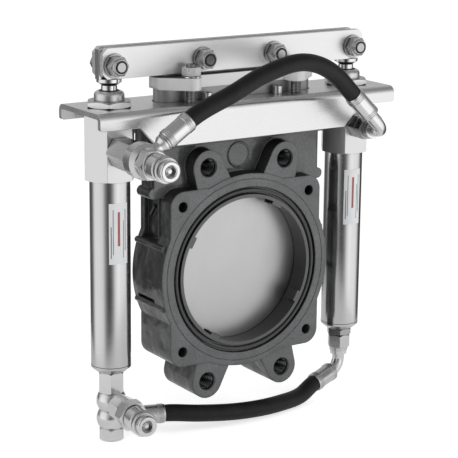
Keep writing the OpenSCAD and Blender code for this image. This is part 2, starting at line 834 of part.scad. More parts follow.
module mounting_plate() {
    color("#cfd0d1") difference() {
        union() {
            translate([-plate_l/2, -plate_depth/2 + plate_bend_r, neck_top])
                cube([plate_l, plate_depth - 2*plate_bend_r, plate_t]);
            for (s = [0, 1]) mirror([0, s, 0]) {
                plate_bend();
                along_y(-plate_depth/2, -plate_depth/2 + plate_t) plate_flange_outline();
            }
        }
        long_hole(chamber_l + 2*plate_opening_play, chamber_depth + 2*plate_opening_play,
            neck_top - 1, plate_top + 1);
        for (x = [-cylinder_x, cylinder_x]) translate([x, 0, neck_top - 1])
            cylinder(d = head_neck_d + 2*bolt_clearance, h = plate_t + 2);
        gland_stud_places() translate([0, 0, neck_top - 1])
            cylinder(d = gland_stud_d + 2*bolt_clearance, h = plate_t + 2);
        plate_screw_places() translate([0, 0, neck_top - 1])
            cylinder(d = screw_d + 2*bolt_clearance, h = plate_t + 2);
    }
}

module plate_screws() {
    color("#c2c3c4") plate_screw_places() {
        translate([0, 0, neck_top - screw_grip]) cylinder(d = screw_d, h = screw_grip + plate_t + 1);
        translate([0, 0, plate_top]) difference() {
            cylinder(d = screw_head_d, h = screw_head_h);
            translate([0, 0, screw_head_h - 3]) cylinder(d = 5/cos(30), h = 4, $fn = 6);
        }
    }
}

// Crossbar

module bolt_hole(x) {
    translate([x, 0, bolt_z]) rotate([90, 0, 0])
        cylinder(d = bar_bolt_d + 2*bolt_clearance, h = 60, center = true);
}

module crossbar() {
    l = bar_l/2;
    c = bar_chamfer;
    difference() {
        along_y(-bar_front, -bar_gap/2) translate([0, bar_bottom]) polygon([[-l + c, 0], [l - c, 0], [l, c],
            [l, bar_h - c], [l - c, bar_h], [-l + c, bar_h], [-l, bar_h - c], [-l, c]]);
        for (x = bolt_xs) bolt_hole(x);
    }
}

module crossbar_front() {
    color("#cdcecf") crossbar();
}

module crossbar_rear() {
    color("#cdcecf") mirror([0, 1, 0]) crossbar();
}

module crossbar_washers() {
    color("#d8d9da") for (x = bolt_xs, s = [0, 1]) mirror([0, s, 0])
        translate([x, -bar_front, bolt_z]) rotate([90, 0, 0])
            ring(bar_washer_d, bar_bolt_d + 2*bolt_clearance, bar_washer_t);
}

module crossbar_nuts() {
    color("#cfd0d1") for (x = bolt_xs) translate([x, -bar_front - bar_washer_t, bolt_z]) rotate([90, 0, 0])
        difference() {
            union() {
                hex(bar_nut_af, bar_nut_t, 1);
                rotate_extrude() polygon([[0, bar_nut_t - 1], [bar_nut_af/2 - 0.6, bar_nut_t - 1],
                    [bar_nut_af/2 - 0.8, bar_nut_t + bar_nut_collar_t - 1.2],
                    [bar_nut_af/2 - 2, bar_nut_t + bar_nut_collar_t], [0, bar_nut_t + bar_nut_collar_t]]);
            }
            translate([0, 0, -1])
                cylinder(d = bar_bolt_d + thread_clearance, h = bar_nut_t + bar_nut_collar_t + 2);
        }
}

module crossbar_bolts() {
    front = bar_front + bar_washer_t + bar_nut_t + bar_nut_collar_t + 0.6;
    rear = bar_front + bar_washer_t;
    color("#bfc0c1") for (x = bolt_xs) translate([x, rear, bolt_z]) rotate([90, 0, 0]) {
        cylinder(d = bar_bolt_d, h = front + rear);
        translate([0, 0, -bolt_head_t]) hex(bar_nut_af, bolt_head_t, 1);
    }
}

// Cylinders, drawn on their own axis

module cylinder_tube() {
    color("#b9bbbc") translate([0, 0, -tube_bottom]) ring(tube_od, tube_id, tube_bottom + tube_top);
}

module end_cap() {
    z = -cap_bottom;
    color("#adafb0") difference() {
        rotate_extrude() polygon([[0, z], [cap_end_d/2, z], [tube_od/2, z + cap_cone_h],
            [tube_od/2, -tube_bottom], [tube_id/2 - ring_clearance, -tube_bottom],
            [tube_id/2 - ring_clearance, -tube_bottom + plug_l], [0, -tube_bottom + plug_l]]);
        translate([0, 0, z - 1]) cylinder(d = bottom_port_d, h = bottom_port_depth + 1.5);
        translate([0, 0, z]) cylinder(d = oil_bore_d, h = cap_bottom - tube_bottom + plug_l + 1);
    }
}

module cylinder_head() {
    color("#d4d5d6") difference() {
        union() {
            translate([0, 0, tube_top - plug_l]) cylinder(d = tube_id - 2*ring_clearance, h = plug_l + 1);
            translate([0, 0, tube_top]) rotate([0, 0, port_yaw])
                hex(head_af, neck_top - tube_top, head_chamfer);
            rotate_extrude() translate([0, neck_top - 1]) head_neck_profile(head_neck_top - neck_top + 1);
        }
        translate([0, 0, tube_top - plug_l - 1])
            cylinder(d = head_bore_d, h = head_neck_top - tube_top + plug_l + 2);
        port_frame(0) {
            translate([0, 0, head_face - head_port_depth]) cylinder(d = head_port_d, h = 20);
            cylinder(d = oil_bore_d, h = 20);
        }
    }
}

module head_neck_profile(h) {
    r = neck_round_r;
    square([head_neck_d/2 - r, h]);
    square([head_neck_d/2, h - r]);
    translate([head_neck_d/2 - r, h - r]) circle(r = r);
}

module rod_bush() {
    color("#b08d4a") translate([0, 0, bush_bottom])
        ring(head_bore_d - 2*ring_clearance, rod_d + 2*fit_clearance, bush_top - bush_bottom);
}

module rod_wiper() {
    color("#222222") translate([0, 0, bush_top + 0.2])
        ring(head_bore_d - 2*ring_clearance, rod_d + 0.4, head_neck_top + wiper_over - bush_top);
}

module lock_nut() {
    color("#dcddde") translate([0, 0, plate_top]) difference() {
        hex(lock_nut_af, lock_nut_t, 1.6);
        translate([0, 0, -1]) cylinder(d = head_neck_d + 2*thread_clearance, h = lock_nut_t + 2);
    }
}

// Rod with the spigot for the piston below and the tongue for the crossbar above
module rod() {
    spigot_top = -piston_bottom + piston_l;
    collar_bottom = bar_bottom - rod_collar_h;
    tongue_bottom = bar_bottom - 5*tongue_play;
    color("#e2e3e4") difference() {
        union() {
            rotate_extrude() polygon([[0, -piston_bottom], [rod_spigot_d/2, -piston_bottom],
                [rod_spigot_d/2, spigot_top], [rod_d/2, spigot_top], [rod_d/2, collar_bottom - rod_flare_h],
                [rod_collar_d/2, collar_bottom], [rod_collar_d/2, bar_bottom - tongue_play],
                [0, bar_bottom - tongue_play]]);
            translate([-rod_tongue_w/2, -bar_gap/2 + tongue_play/2, tongue_bottom])
                cube([rod_tongue_w, bar_gap - tongue_play, bar_h - 1]);
        }
        bolt_hole(0);
    }
}

module piston() {
    r = tube_id/2 - fit_clearance;
    groove = r - piston_groove_depth;
    bore = rod_spigot_d/2 + ring_clearance;
    seal = piston_land + piston_seal_w;
    guide = piston_l - guide_land;
    color("#8f9192") translate([0, 0, -piston_bottom]) rotate_extrude() polygon([[bore, 0],
        [r - piston_chamfer, 0], [r, piston_chamfer], [r, piston_land], [groove, piston_land], [groove, seal],
        [r, seal], [r, guide - guide_ring_w], [groove, guide - guide_ring_w], [groove, guide], [r, guide],
        [r, piston_l - piston_chamfer], [r - piston_chamfer, piston_l], [bore, piston_l]]);
}

module on_left() {
    translate([-cylinder_x, 0, 0]) children();
}

module on_right() {
    translate([cylinder_x, 0, 0]) children();
}

module cylinder_tube_left() {
    on_left() cylinder_tube();
}

module cylinder_tube_right() {
    on_right() cylinder_tube();
}

module end_cap_left() {
    on_left() end_cap();
}

module end_cap_right() {
    on_right() end_cap();
}

module cylinder_head_left() {
    on_left() cylinder_head();
}

module cylinder_head_right() {
    on_right() cylinder_head();
}

module rod_bush_left() {
    on_left() rod_bush();
}

module rod_bush_right() {
    on_right() rod_bush();
}

module rod_wiper_left() {
    on_left() rod_wiper();
}

module rod_wiper_right() {
    on_right() rod_wiper();
}

module lock_nut_left() {
    on_left() lock_nut();
}

module lock_nut_right() {
    on_right() lock_nut();
}

module rod_left() {
    on_left() rod();
}

module rod_right() {
    on_right() rod();
}

module piston_left() {
    on_left() piston();
}

module piston_right() {
    on_right() piston();
}

// Upper fittings

module upper_left_adaptor() {
    color("#b6b8b9") port_frame(-cylinder_x) difference() {
        union() {
            translate([0, 0, head_face - head_port_depth + 0.5])
                cylinder(d = head_port_d - 2*thread_clearance, h = head_port_depth);
            translate([0, 0, head_face]) hex(large_hex_af, adaptor_hex_l);
            translate([0, 0, stack_seal_a - 1])
                cylinder(d = stud_d, h = stack_nipple - stack_seal_a + 1 + stud_grip);
        }
        translate([0, 0, -1]) cylinder(d = oil_bore_d, h = stack_nipple + stud_grip + 2);
        translate([0, 0, stack_eye_mid]) rotate([0, 90, 0]) cylinder(d = 6, h = 60, center = true);
    }
}

module bonded_seals() {
    color("#9a9c9d") {
        port_frame(-cylinder_x) for (l = [stack_seal_a, stack_seal_b])
            translate([0, 0, l]) ring(bonded_seal_d, stud_d + 0.4, bonded_seal_t);
    }
}

module upper_banjo_eye() {
    r = upper_eye_d/2;
    color("#c6c8c9") port_frame(-cylinder_x) difference() {
        union() {
            translate([0, 0, stack_eye]) rotate_extrude() polygon([[0, 0], [r - upper_eye_round, 0],
                [r, upper_eye_round], [r, upper_eye_w - upper_eye_round], [r - upper_eye_round, upper_eye_w],
                [0, upper_eye_w]]);
            translate([0, 0, stack_eye_mid]) sideways(upper_stem_angle) rotate_extrude()
                polygon([[0, 10], [upper_stem_d/2, 10], [upper_stem_d/2, 21], [8.5, 25],
                    [8.5, 26.5], [7.8, 27],
                    [7.8, 27.6], [8.8, 28], [8.8, upper_ferrule_start], [0, upper_ferrule_start]]);
        }
        translate([0, 0, stack_eye - 1]) cylinder(d = stud_d + 0.4, h = upper_eye_w + 2);
        translate([0, 0, stack_eye_mid - 4]) cylinder(d = stud_d + 4, h = 8);
        translate([0, 0, stack_eye_mid]) sideways(upper_stem_angle) cylinder(d = 6, h = 60);
    }
}

// Coupler nipple along Z, open at the base for the fitting that carries it
module nipple(socket_d, socket_l) {
    r = nose_d/2;
    body_r = nipple_body_d/2;
    groove_r = nipple_groove_d/2;
    groove = nipple_hex_l + nipple_body_l;
    ring = groove + nipple_groove_l;
    difference() {
        union() {
            hex(large_hex_af, nipple_hex_l);
            rotate_extrude() {
                polygon([[0, nipple_hex_l - 1], [body_r - 1.5, nipple_hex_l - 1],
                    [body_r - 1.5, nipple_hex_l + 1], [body_r, nipple_hex_l + 2.5],
                    [body_r, groove - 1], [body_r - 1, groove], [groove_r, groove],
                    [groove_r, ring], [body_r - 0.6, ring], [body_r, ring + 0.6], [body_r, nose_start - 1],
                    [body_r - 1, nose_start], [r, nose_start], [r, nipple_l - nose_round_r],
                    [r - nose_round_r, nipple_l], [0, nipple_l]]);
                translate([r - nose_round_r, nipple_l - nose_round_r]) circle(r = nose_round_r);
            }
        }
        translate([0, 0, -1]) cylinder(d = socket_d, h = socket_l + 1);
        translate([0, 0, -1]) cylinder(d = oil_bore_d, h = nipple_l);
        translate([0, 0, nipple_l - nose_recess_l - poppet_seat_l - poppet_chamber_l])
            cylinder(d = poppet_chamber_d, h = poppet_chamber_l);
        cylinder(d = poppet_seat_d, h = nipple_l + 1);
        translate([0, 0, nipple_l - nose_recess_l]) cylinder(d = nose_recess_d, h = 20);
        translate([0, 0, nipple_l - 1]) cylinder(d1 = nose_recess_d, d2 = nose_recess_d + 4, h = 2);
    }
}

// Spring-loaded poppet of a nipple, at rest on its seat
module poppet() {
    seat = nipple_l - nose_recess_l - poppet_seat_l;
    tip = nipple_l - poppet_recess;
    rotate_extrude() polygon([[0, seat - poppet_head_l - poppet_guide_l],
        [poppet_guide_d/2, seat - poppet_head_l - poppet_guide_l], [poppet_guide_d/2, seat - poppet_head_l],
        [poppet_head_d/2, seat - poppet_head_l], [poppet_head_d/2, seat - 0.5],
        [poppet_head_d/2 - 0.5, seat - 0.1],
        [poppet_tip_d/2, seat - 0.1], [poppet_tip_d/2, tip - 1.5], [poppet_tip_d/2 - 1.5, tip], [0, tip]]);
}

module upper_nipple() {
    color("#cacccd") port_frame(-cylinder_x) translate([0, 0, stack_nipple])
        nipple(stud_d + 2*thread_clearance, stud_grip + 0.5);
}

module upper_poppet() {
    color("#d8c48a") port_frame(-cylinder_x) translate([0, 0, stack_nipple]) poppet();
}

module upper_left_ferrule() {
    color("#c4c6c7") port_frame(-cylinder_x) translate([0, 0, stack_eye_mid])
        sideways(upper_stem_angle) translate([0, 0, upper_ferrule_start]) ferrule();
}

module upper_hose() {
    points = concat([upper_start], upper_route, [upper_end]);
    color("#202122") sweep(smooth_line(points, upper_start_dir, -upper_end_dir, hose_steps),
        upper_start_dir, -upper_end_dir, hose_d);
}

module upper_right_adaptor() {
    color("#8f9192") port_frame(cylinder_x) difference() {
        union() {
            translate([0, 0, head_face - head_port_depth + 0.5])
                cylinder(d = head_port_d - 2*thread_clearance, h = head_port_depth);
            translate([0, 0, head_face]) hex(nut_hex_af, right_adaptor_l);
            translate([0, 0, head_face + right_adaptor_l - 1])
                cylinder(d = cone_d, h = 1 + nut_gap + swivel_nut_l - nut_wall - 1);
        }
        translate([0, 0, -1]) cylinder(d = oil_bore_d, h = 60);
    }
}

// Swivel nut along Z with a turned collar at its far end
module swivel_nut(l) {
    difference() {
        union() {
            hex(nut_hex_af, l);
            translate([0, 0, l - 1]) cylinder(d = nut_collar_d, h = 1 + nut_collar_l);
        }
        translate([0, 0, -1]) cylinder(d = cone_d + 2*thread_clearance, h = l - nut_wall + 1);
        translate([0, 0, -1]) cylinder(d = elbow_d + 0.4, h = l + nut_collar_l + 2);
    }
}

module upper_swivel_nut() {
    color("#9fa1a2") port_frame(cylinder_x) translate([0, 0, right_nut_at]) swivel_nut(swivel_nut_l);
}

// Elbow that starts inside its swivel nut
module nut_elbow(nut_at, nut_l, at, radius, angle, neck) {
    start = nut_at + nut_l - nut_wall;
    difference() {
        union() {
            elbow(start, at, radius, angle, neck, elbow_d);
            translate([0, 0, at - elbow_neck - elbow_collar_l])
                cylinder(d = elbow_collar_d, h = elbow_collar_l);
        }
        translate([0, 0, start - 1]) cylinder(d = oil_bore_d, h = at - start + 1);
    }
}

module upper_elbow() {
    color("#b3b5b6") port_frame(cylinder_x) rotate([0, 0, upper_elbow_angle])
        nut_elbow(right_nut_at, swivel_nut_l, right_elbow_at, upper_elbow_r, 90, upper_elbow_straight);
}

module upper_right_ferrule() {
    color("#c4c6c7") port_frame(cylinder_x) rotate([0, 0, upper_elbow_angle])
        translate([0, 0, right_elbow_at])
        after_bend(upper_elbow_r, 90) translate([0, 0, upper_elbow_straight]) ferrule();
}

// Lower left fittings

module lower_left_adaptor() {
    color("#a9abac") on_left() difference() {
        union() {
            translate([0, 0, -cap_bottom - 1])
                cylinder(d = bottom_port_d - 2*thread_clearance, h = bottom_port_depth + 1);
            translate([0, 0, lower_eye_a]) hex(small_hex_af, lower_adaptor_l);
        }
        translate([0, 0, lower_eye_a - 1]) cylinder(d = lower_bolt_d + 2*thread_clearance, h = 12);
        translate([0, 0, lower_eye_a]) cylinder(d = oil_bore_d, h = 60);
    }
}

// Round banjo eye with flat ends, its middle at the origin
module banjo_eye(stem_l) {
    difference() {
        union() {
            intersection() {
                sphere(d = lower_eye_d + 2);
                cylinder(d = lower_eye_d + 4, h = lower_eye_h, center = true);
            }
            rotate([0, 90, 0]) cylinder(d = lower_stem_d, h = stem_l);
        }
        cylinder(d = lower_bolt_d + 2*bolt_clearance, h = lower_eye_h + 2, center = true);
        rotate([0, 90, 0]) cylinder(d = 6, h = stem_l + 1);
    }
}

module lower_coupler_eye() {
    color("#b4b6b7") on_left() translate([0, 0, lower_coupler_z]) rotate([0, 0, lower_coupler_yaw - 90]) {
        banjo_eye(lower_coupler_base + stud_grip - 1);
        translate([lower_coupler_hex_at, 0, 0]) rotate([0, 90, 0]) difference() {
            hex(small_hex_af, lower_coupler_base - lower_coupler_hex_at);
            translate([0, 0, -1]) cylinder(d = lower_stem_d - 1, h = 60);
        }
    }
}

module lower_hose_eye() {
    color("#b4b6b7") on_left() translate([0, 0, lower_hose_z]) rotate([0, 0, lower_hose_yaw])
        banjo_eye(lower_ferrule_start);
}

module lower_banjo_bolt() {
    color("#a4a6a7") on_left() difference() {
        union() {
            translate([0, 0, lower_bolt_head]) cylinder(d = lower_bolt_d, h = 2*lower_eye_h + 9);
            translate([0, 0, lower_bolt_head - lower_bolt_head_h]) hex(small_hex_af, lower_bolt_head_h, 2);
        }
        translate([0, 0, lower_bolt_head]) cylinder(d = oil_bore_d, h = 60);
        for (z = [lower_coupler_z, lower_hose_z]) translate([0, 0, z]) rotate([0, 90, 0])
            cylinder(d = 5, h = 40, center = true);
    }
}

module lower_coupler_frame() {
    on_left() rotate([0, 0, lower_coupler_yaw]) translate([0, -lower_coupler_base, lower_coupler_z])
        rotate([90, 0, 0]) children();
}

module lower_nipple() {
    color("#b9bbbc") lower_coupler_frame() nipple(lower_stem_d + 2*thread_clearance, stud_grip - 0.5);
}

module lower_poppet() {
    color("#d8c48a") lower_coupler_frame() poppet();
}

module lower_left_ferrule() {
    color("#a9abac") on_left() translate([0, 0, lower_hose_z]) rotate([0, 0, lower_hose_yaw])
        translate([lower_ferrule_start, 0, 0]) rotate([0, 90, 0]) ferrule();
}

module lower_hose() {
    points = concat([lower_start], lower_route, [lower_end]);
    color("#202122") sweep(smooth_line(points, lower_start_dir, -lower_end_dir, hose_steps),
        lower_start_dir, -lower_end_dir, hose_d);
}

// Lower right fittings, drawn downwards from the end cap

module below_right_cap() {
    on_right() translate([0, 0, -cap_bottom]) rotate([180, 0, 0]) children();
}

module lower_right_adaptor() {
    color("#a4a6a7") below_right_cap() difference() {
        union() {
            translate([0, 0, -bottom_port_depth])
                cylinder(d = bottom_port_d - 2*thread_clearance, h = bottom_port_depth + 1);
            hex(small_hex_af, lower_right_adaptor_l);
            translate([0, 0, lower_right_adaptor_l - 1])
                cylinder(d = cone_d, h = 1 + nut_gap + lower_nut_l - nut_wall - 1);
        }
        translate([0, 0, -20]) cylinder(d = oil_bore_d, h = 60);
    }
}

module lower_swivel_nut() {
    color("#a4a6a7") below_right_cap() translate([0, 0, lower_nut_at]) swivel_nut(lower_nut_l);
}

module lower_elbow() {
    color("#b3b5b6") below_right_cap() rotate([0, 0, lower_elbow_turn])
        nut_elbow(lower_nut_at, lower_nut_l, lower_elbow_at, lower_elbow_r,
            lower_elbow_bend, lower_elbow_neck);
}

module lower_right_ferrule() {
    color("#a9abac") below_right_cap() rotate([0, 0, lower_elbow_turn]) translate([0, 0, lower_elbow_at])
        after_bend(lower_elbow_r, lower_elbow_bend) translate([0, 0, lower_elbow_neck]) ferrule();
}

body_casting();
seat_ring_front();
seat_ring_rear();
gate_seal_front();
gate_seal_rear();
flange_seal_front();
flange_seal_rear();
packing();
gland_follower();
gland_flange();
gland_studs();
gland_nuts();
gland_washers();
mounting_plate();
plate_screws();
cylinder_head_left();
cylinder_head_right();
cylinder_tube_left();
cylinder_tube_right();
end_cap_left();
end_cap_right();
rod_bush_left();
rod_bush_right();
rod_wiper_left();
rod_wiper_right();
lock_nut_left();
lock_nut_right();
gate();
crossbar_front();
crossbar_rear();
crossbar_bolts();
crossbar_nuts();
crossbar_washers();
rod_left();
rod_right();
piston_left();
piston_right();
upper_left_adaptor();
upper_banjo_eye();
upper_nipple();
upper_poppet();
bonded_seals();
upper_left_ferrule();
upper_hose();
upper_right_ferrule();
upper_elbow();
upper_swivel_nut();
upper_right_adaptor();
lower_left_adaptor();
lower_coupler_eye();
lower_hose_eye();
lower_banjo_bolt();
lower_nipple();
lower_poppet();
lower_left_ferrule();
lower_hose();
lower_right_ferrule();
lower_elbow();
lower_swivel_nut();
lower_right_adaptor();
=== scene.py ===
import math

import bpy
from mathutils import Matrix, Vector


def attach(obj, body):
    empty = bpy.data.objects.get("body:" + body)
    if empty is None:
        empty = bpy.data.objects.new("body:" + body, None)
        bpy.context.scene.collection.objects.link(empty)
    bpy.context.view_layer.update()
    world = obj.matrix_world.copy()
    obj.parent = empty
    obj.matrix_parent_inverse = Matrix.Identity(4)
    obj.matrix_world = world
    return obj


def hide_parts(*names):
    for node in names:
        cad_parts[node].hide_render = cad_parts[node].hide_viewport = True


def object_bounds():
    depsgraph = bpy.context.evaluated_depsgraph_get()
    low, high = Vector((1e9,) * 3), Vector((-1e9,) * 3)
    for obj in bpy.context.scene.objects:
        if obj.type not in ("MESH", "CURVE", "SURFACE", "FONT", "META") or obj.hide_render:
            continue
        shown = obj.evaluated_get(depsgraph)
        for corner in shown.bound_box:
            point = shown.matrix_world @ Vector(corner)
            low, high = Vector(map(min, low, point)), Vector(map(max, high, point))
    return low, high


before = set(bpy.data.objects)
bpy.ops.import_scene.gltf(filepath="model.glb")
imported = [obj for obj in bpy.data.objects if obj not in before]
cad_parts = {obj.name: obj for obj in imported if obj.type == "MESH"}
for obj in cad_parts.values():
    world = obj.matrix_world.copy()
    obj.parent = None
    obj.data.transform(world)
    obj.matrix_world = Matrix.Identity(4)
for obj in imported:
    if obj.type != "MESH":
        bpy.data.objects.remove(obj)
cad_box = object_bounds()
BODY, LIFT = "valve_body", "gate_assembly"
MM = 0.001

# Sizes that the pieces below share with the CAD source, in millimetres
BORE_R, FACE, STEP_R = 75.0, 29.0, 94.4
CYL_X, PORT_Z = 141.8, 135.8
HOSE_D, FERRULE_D, FERRULE_L = 17.5, 19.4, 31.0


# ---------------------------------------------------------------- node groups

def group(name, inputs, outputs):
    g = bpy.data.node_groups.new(name, "ShaderNodeTree")
    for n, kind, value in inputs:
        s = g.interface.new_socket(n, in_out="INPUT", socket_type="NodeSocket" + kind)
        if value is not None:
            s.default_value = value
    for n, kind in outputs:
        g.interface.new_socket(n, in_out="OUTPUT", socket_type="NodeSocket" + kind)
    return g, g.nodes.new("NodeGroupInput"), g.nodes.new("NodeGroupOutput")


def node(tree, kind, **values):
    n = tree.nodes.new(kind)
    for key, v in values.items():
        if key in n.inputs:
            n.inputs[key].default_value = v
        else:
            setattr(n, key, v)
    return n


def ramp(tree, src, stops):
    n = tree.nodes.new("ShaderNodeMapRange")
    (a, lo), (b, hi) = stops
    n.inputs["From Min"].default_value = a
    n.inputs["From Max"].default_value = b
    n.inputs["To Min"].default_value = lo
    n.inputs["To Max"].default_value = hi
    tree.links.new(src, n.inputs["Value"])
    return n.outputs["Result"]


def maths(tree, op, a, b=None):
    n = tree.nodes.new("ShaderNodeMath")
    n.operation = op
    for i, v in enumerate((a, b)):
        if v is None:
            continue
        if isinstance(v, (int, float)):
            n.inputs[i].default_value = v
        else:
            tree.links.new(v, n.inputs[i])
    return n.outputs[0]


def product(tree, *factors):
    out = factors[0]
    for f in factors[1:]:
        out = maths(tree, "MULTIPLY", out, f)
    return out


def added(tree, *terms):
    out = terms[0]
    for t in terms[1:]:
        out = maths(tree, "ADD", out, t)
    return out


def rest_of(tree, share):
    """What a share leaves of 1."""
    return maths(tree, "SUBTRACT", 1.0, share)


def split(tree, vector):
    n = tree.nodes.new("ShaderNodeSeparateXYZ")
    tree.links.new(vector, n.inputs[0])
    return n.outputs


def noise(tree, scale, detail=3.0, rough=0.6):
    co = tree.nodes.new("ShaderNodeTexCoord").outputs["Object"]
    n = node(tree, "ShaderNodeTexNoise", Scale=scale, Detail=detail, Roughness=rough)
    tree.links.new(co, n.inputs["Vector"])
    return n.outputs["Fac"]


def mix_colour(tree, fac, a, b):
    n = tree.nodes.new("ShaderNodeMix")
    n.data_type = "RGBA"
    tree.links.new(fac, n.inputs[0])
    for i, v in ((6, a), (7, b)):
        if isinstance(v, tuple):
            n.inputs[i].default_value = (*v, 1)
        else:
            tree.links.new(v, n.inputs[i])
    return n.outputs[2]


def edge_group():
    """How far a point lies on an edge, 0 to 1, from the rounded and the true normal; edges are
    lightened by it, partly as wear and partly as painted highlight.
    """
    g, _, out = group("edge_wear_and_highlight", [], [("Edge", "Float")])
    bev = node(g, "ShaderNodeBevel", samples=6, Radius=0.7 * MM)
    geo = g.nodes.new("ShaderNodeNewGeometry")
    dot = node(g, "ShaderNodeVectorMath", operation="DOT_PRODUCT")
    g.links.new(bev.outputs[0], dot.inputs[0])
    g.links.new(geo.outputs["Normal"], dot.inputs[1])
    g.links.new(ramp(g, dot.outputs["Value"], ((0.99, 0.0), (0.82, 1.0))), out.inputs[0])
    return g


EDGE = edge_group()


def times(tree, colour, factor):
    """Colour multiplied by one number."""
    n = node(tree, "ShaderNodeMix", data_type="RGBA", blend_type="MULTIPLY")
    n.inputs[0].default_value = 1.0
    tree.links.new(colour, n.inputs[6])
    f = node(tree, "ShaderNodeCombineColor")
    for i in range(3):
        tree.links.new(factor, f.inputs[i])
    tree.links.new(f.outputs[0], n.inputs[7])
    return n.outputs[2]


def crevice(tree, reach, dark, low=0.35, high=0.9):
    """Shade for corners and gaps: 1 in the open, dark where other surfaces stand close."""
    n = node(tree, "ShaderNodeAmbientOcclusion", samples=16, Distance=reach * MM)
    return ramp(tree, n.outputs["AO"], ((low, dark), (high, 1.0)))


def cast_masks(g, normal, at):
    """Masks for faces flat along Y, the machine-cut faces, the neck front, and the turned line; the
    turned line is darkened later as a painted shade in its shallow groove.
    """
    flat = ramp(g, maths(g, "ABSOLUTE", normal["Y"]), ((0.90, 0.0), (0.97, 1.0)))
    proud = ramp(g, maths(g, "ABSOLUTE", at["Y"]), ((0.0245, 0.0), (0.0265, 1.0)))
    machined_lit = product(g, flat, proud)
    neck = product(g, flat, rest_of(g, proud))
    radius = maths(g, "SQRT", added(g, product(g, at["X"], at["X"]), product(g, at["Z"], at["Z"])))
    off_line = maths(g, "ABSOLUTE", maths(g, "SUBTRACT", radius, STEP_R * MM))
    line = product(g, ramp(g, off_line, ((0.0004, 0.75), (0.0007, 0.0))), machined_lit)
    return flat, machined_lit, neck, line


def cast_group():
    """Painted sand casting: dark glossy skin, flatter on the machine-cut faces; painted light makes
    the faces flat along Y and the lower flanks paler, and painted shade darkens upward faces,
    corners and the turned line.
    """
    g, gi, out = group("painted_casting",
                       [("Skin", "Color", (0.03, 0.03, 0.03, 1)),
                        ("LitTone", "Color", (0.1, 0.1, 0.1, 1))],
                       [("Color", "Color"), ("Roughness", "Float"), ("Height", "Float")])
    co = g.nodes.new("ShaderNodeTexCoord").outputs
    normal, at = split(g, co["Normal"]), split(g, co["Object"])
    flat, machined_lit, neck, line = cast_masks(g, normal, at)
    broad, mid = noise(g, 34.0, 2.0, 0.5), noise(g, 170.0, 3.0, 0.55)
    fine, pits = noise(g, 900.0, 3.0, 0.7), noise(g, 420.0, 1.0, 0.4)
    grit = ramp(g, noise(g, 560.0, 2.0, 0.6), ((0.35, 0.86), (0.65, 1.14)))

    # Painted light: the flanks are paler below an uneven edge, standing in for light thrown up from
    # the floor
    bounce_height = added(g, at["Z"], product(g, maths(g, "SUBTRACT", broad, 0.5), 0.030))
    bounce_light = product(g, ramp(g, bounce_height, ((-0.008, 0.0), (-0.016, 0.42))), rest_of(g, flat))
    # Painted light: the flange and neck faces flat along Y take the paler tone, as if lit more than
    # the sides
    pale = added(g, machined_lit, bounce_light, product(g, neck, 0.95))
    tone = mix_colour(g, pale, gi.outputs["Skin"], gi.outputs["LitTone"])

    # Cloudy paint with a few pits; painted shade darkens upward faces, which lie in the plate's
    # shade, the turned line and corners
    cloud = ramp(g, broad, ((0.3, 0.80), (0.7, 1.18)))
    pitted = ramp(g, pits, ((0.62, 1.0), (0.72, 0.6)))
    upward = ramp(g, normal["Z"], ((0.45, 1.0), (0.85, 0.35)))
    corners = crevice(g, 5.5, 0.32)
    shaded = times(g, tone, product(g, cloud, pitted, grit, rest_of(g, line), upward, corners))
    # Edges lightened to pale grey: partly paint wear, partly a painted highlight on the rounded
    # edges
    e = node(g, "ShaderNodeGroup", node_tree=EDGE)
    wear_and_highlight = product(g, e.outputs[0], ramp(g, mid, ((0.42, 0.05), (0.62, 0.55))))
    g.links.new(mix_colour(g, wear_and_highlight, shaded, (0.32, 0.325, 0.33)), out.inputs["Color"])

    rough = ramp(g, mid, ((0.3, 0.13), (0.7, 0.28)))
    matt = ramp(g, normal["Z"], ((0.45, 0.0), (0.85, 0.45)))
    g.links.new(added(g, rough, product(g, machined_lit, 0.22), matt), out.inputs["Roughness"])
    skin = added(g, product(g, mid, 0.9), product(g, broad, 30.0))
    even = rest_of(g, product(g, machined_lit, 0.96))
    g.links.new(added(g, product(g, fine, 0.15), product(g, skin, even)), out.inputs["Height"])
    return g


def brushed_group():
    """Ground or rolled steel: fine lines, cloudy roughness, Top for the tone of upward faces, a
    painted shade where it is below 1, and painted shade in corners.
    """
    g, gi, out = group("brushed_metal",
                       [("Base", "Color", (0.6, 0.6, 0.6, 1)), ("Lines", "Vector", (1, 1, 1)),
                        ("Low", "Float", 0.2), ("High", "Float", 0.3), ("Top", "Float", 1.0)],
                       [("Color", "Color"), ("Roughness", "Float"), ("Height", "Float")])
    co = g.nodes.new("ShaderNodeTexCoord").outputs
    up = ramp(g, split(g, co["Normal"])["Z"], ((0.7, 0.0), (0.9, 1.0)))
    top = added(g, product(g, up, maths(g, "SUBTRACT", gi.outputs["Top"], 1.0)), 1.0)
    sc = node(g, "ShaderNodeVectorMath", operation="MULTIPLY")
    g.links.new(co["Object"], sc.inputs[0])
    g.links.new(gi.outputs["Lines"], sc.inputs[1])
    lines = node(g, "ShaderNodeTexNoise", Scale=1.0, Detail=4.0, Roughness=0.65)
    g.links.new(sc.outputs[0], lines.inputs["Vector"])
    cloud = noise(g, 35.0, 3.0, 0.5)
    both = added(g, product(g, lines.outputs["Fac"], 0.5), product(g, cloud, 0.5))
    r = node(g, "ShaderNodeMapRange")
    r.inputs["From Min"].default_value, r.inputs["From Max"].default_value = 0.35, 0.65
    g.links.new(both, r.inputs["Value"])
    g.links.new(gi.outputs["Low"], r.inputs["To Min"])
    g.links.new(gi.outputs["High"], r.inputs["To Max"])
    v = ramp(g, both, ((0.3, 0.96), (0.7, 1.03)))
    # Painted shade: corners and gaps darkened, and upward faces scaled by Top
    tone = times(g, gi.outputs["Base"], product(g, v, top, crevice(g, 2.2, 0.22, 0.3, 0.8)))
    g.links.new(tone, out.inputs["Color"])
    g.links.new(r.outputs[0], out.inputs["Roughness"])
    g.links.new(lines.outputs["Fac"], out.inputs["Height"])
    return g


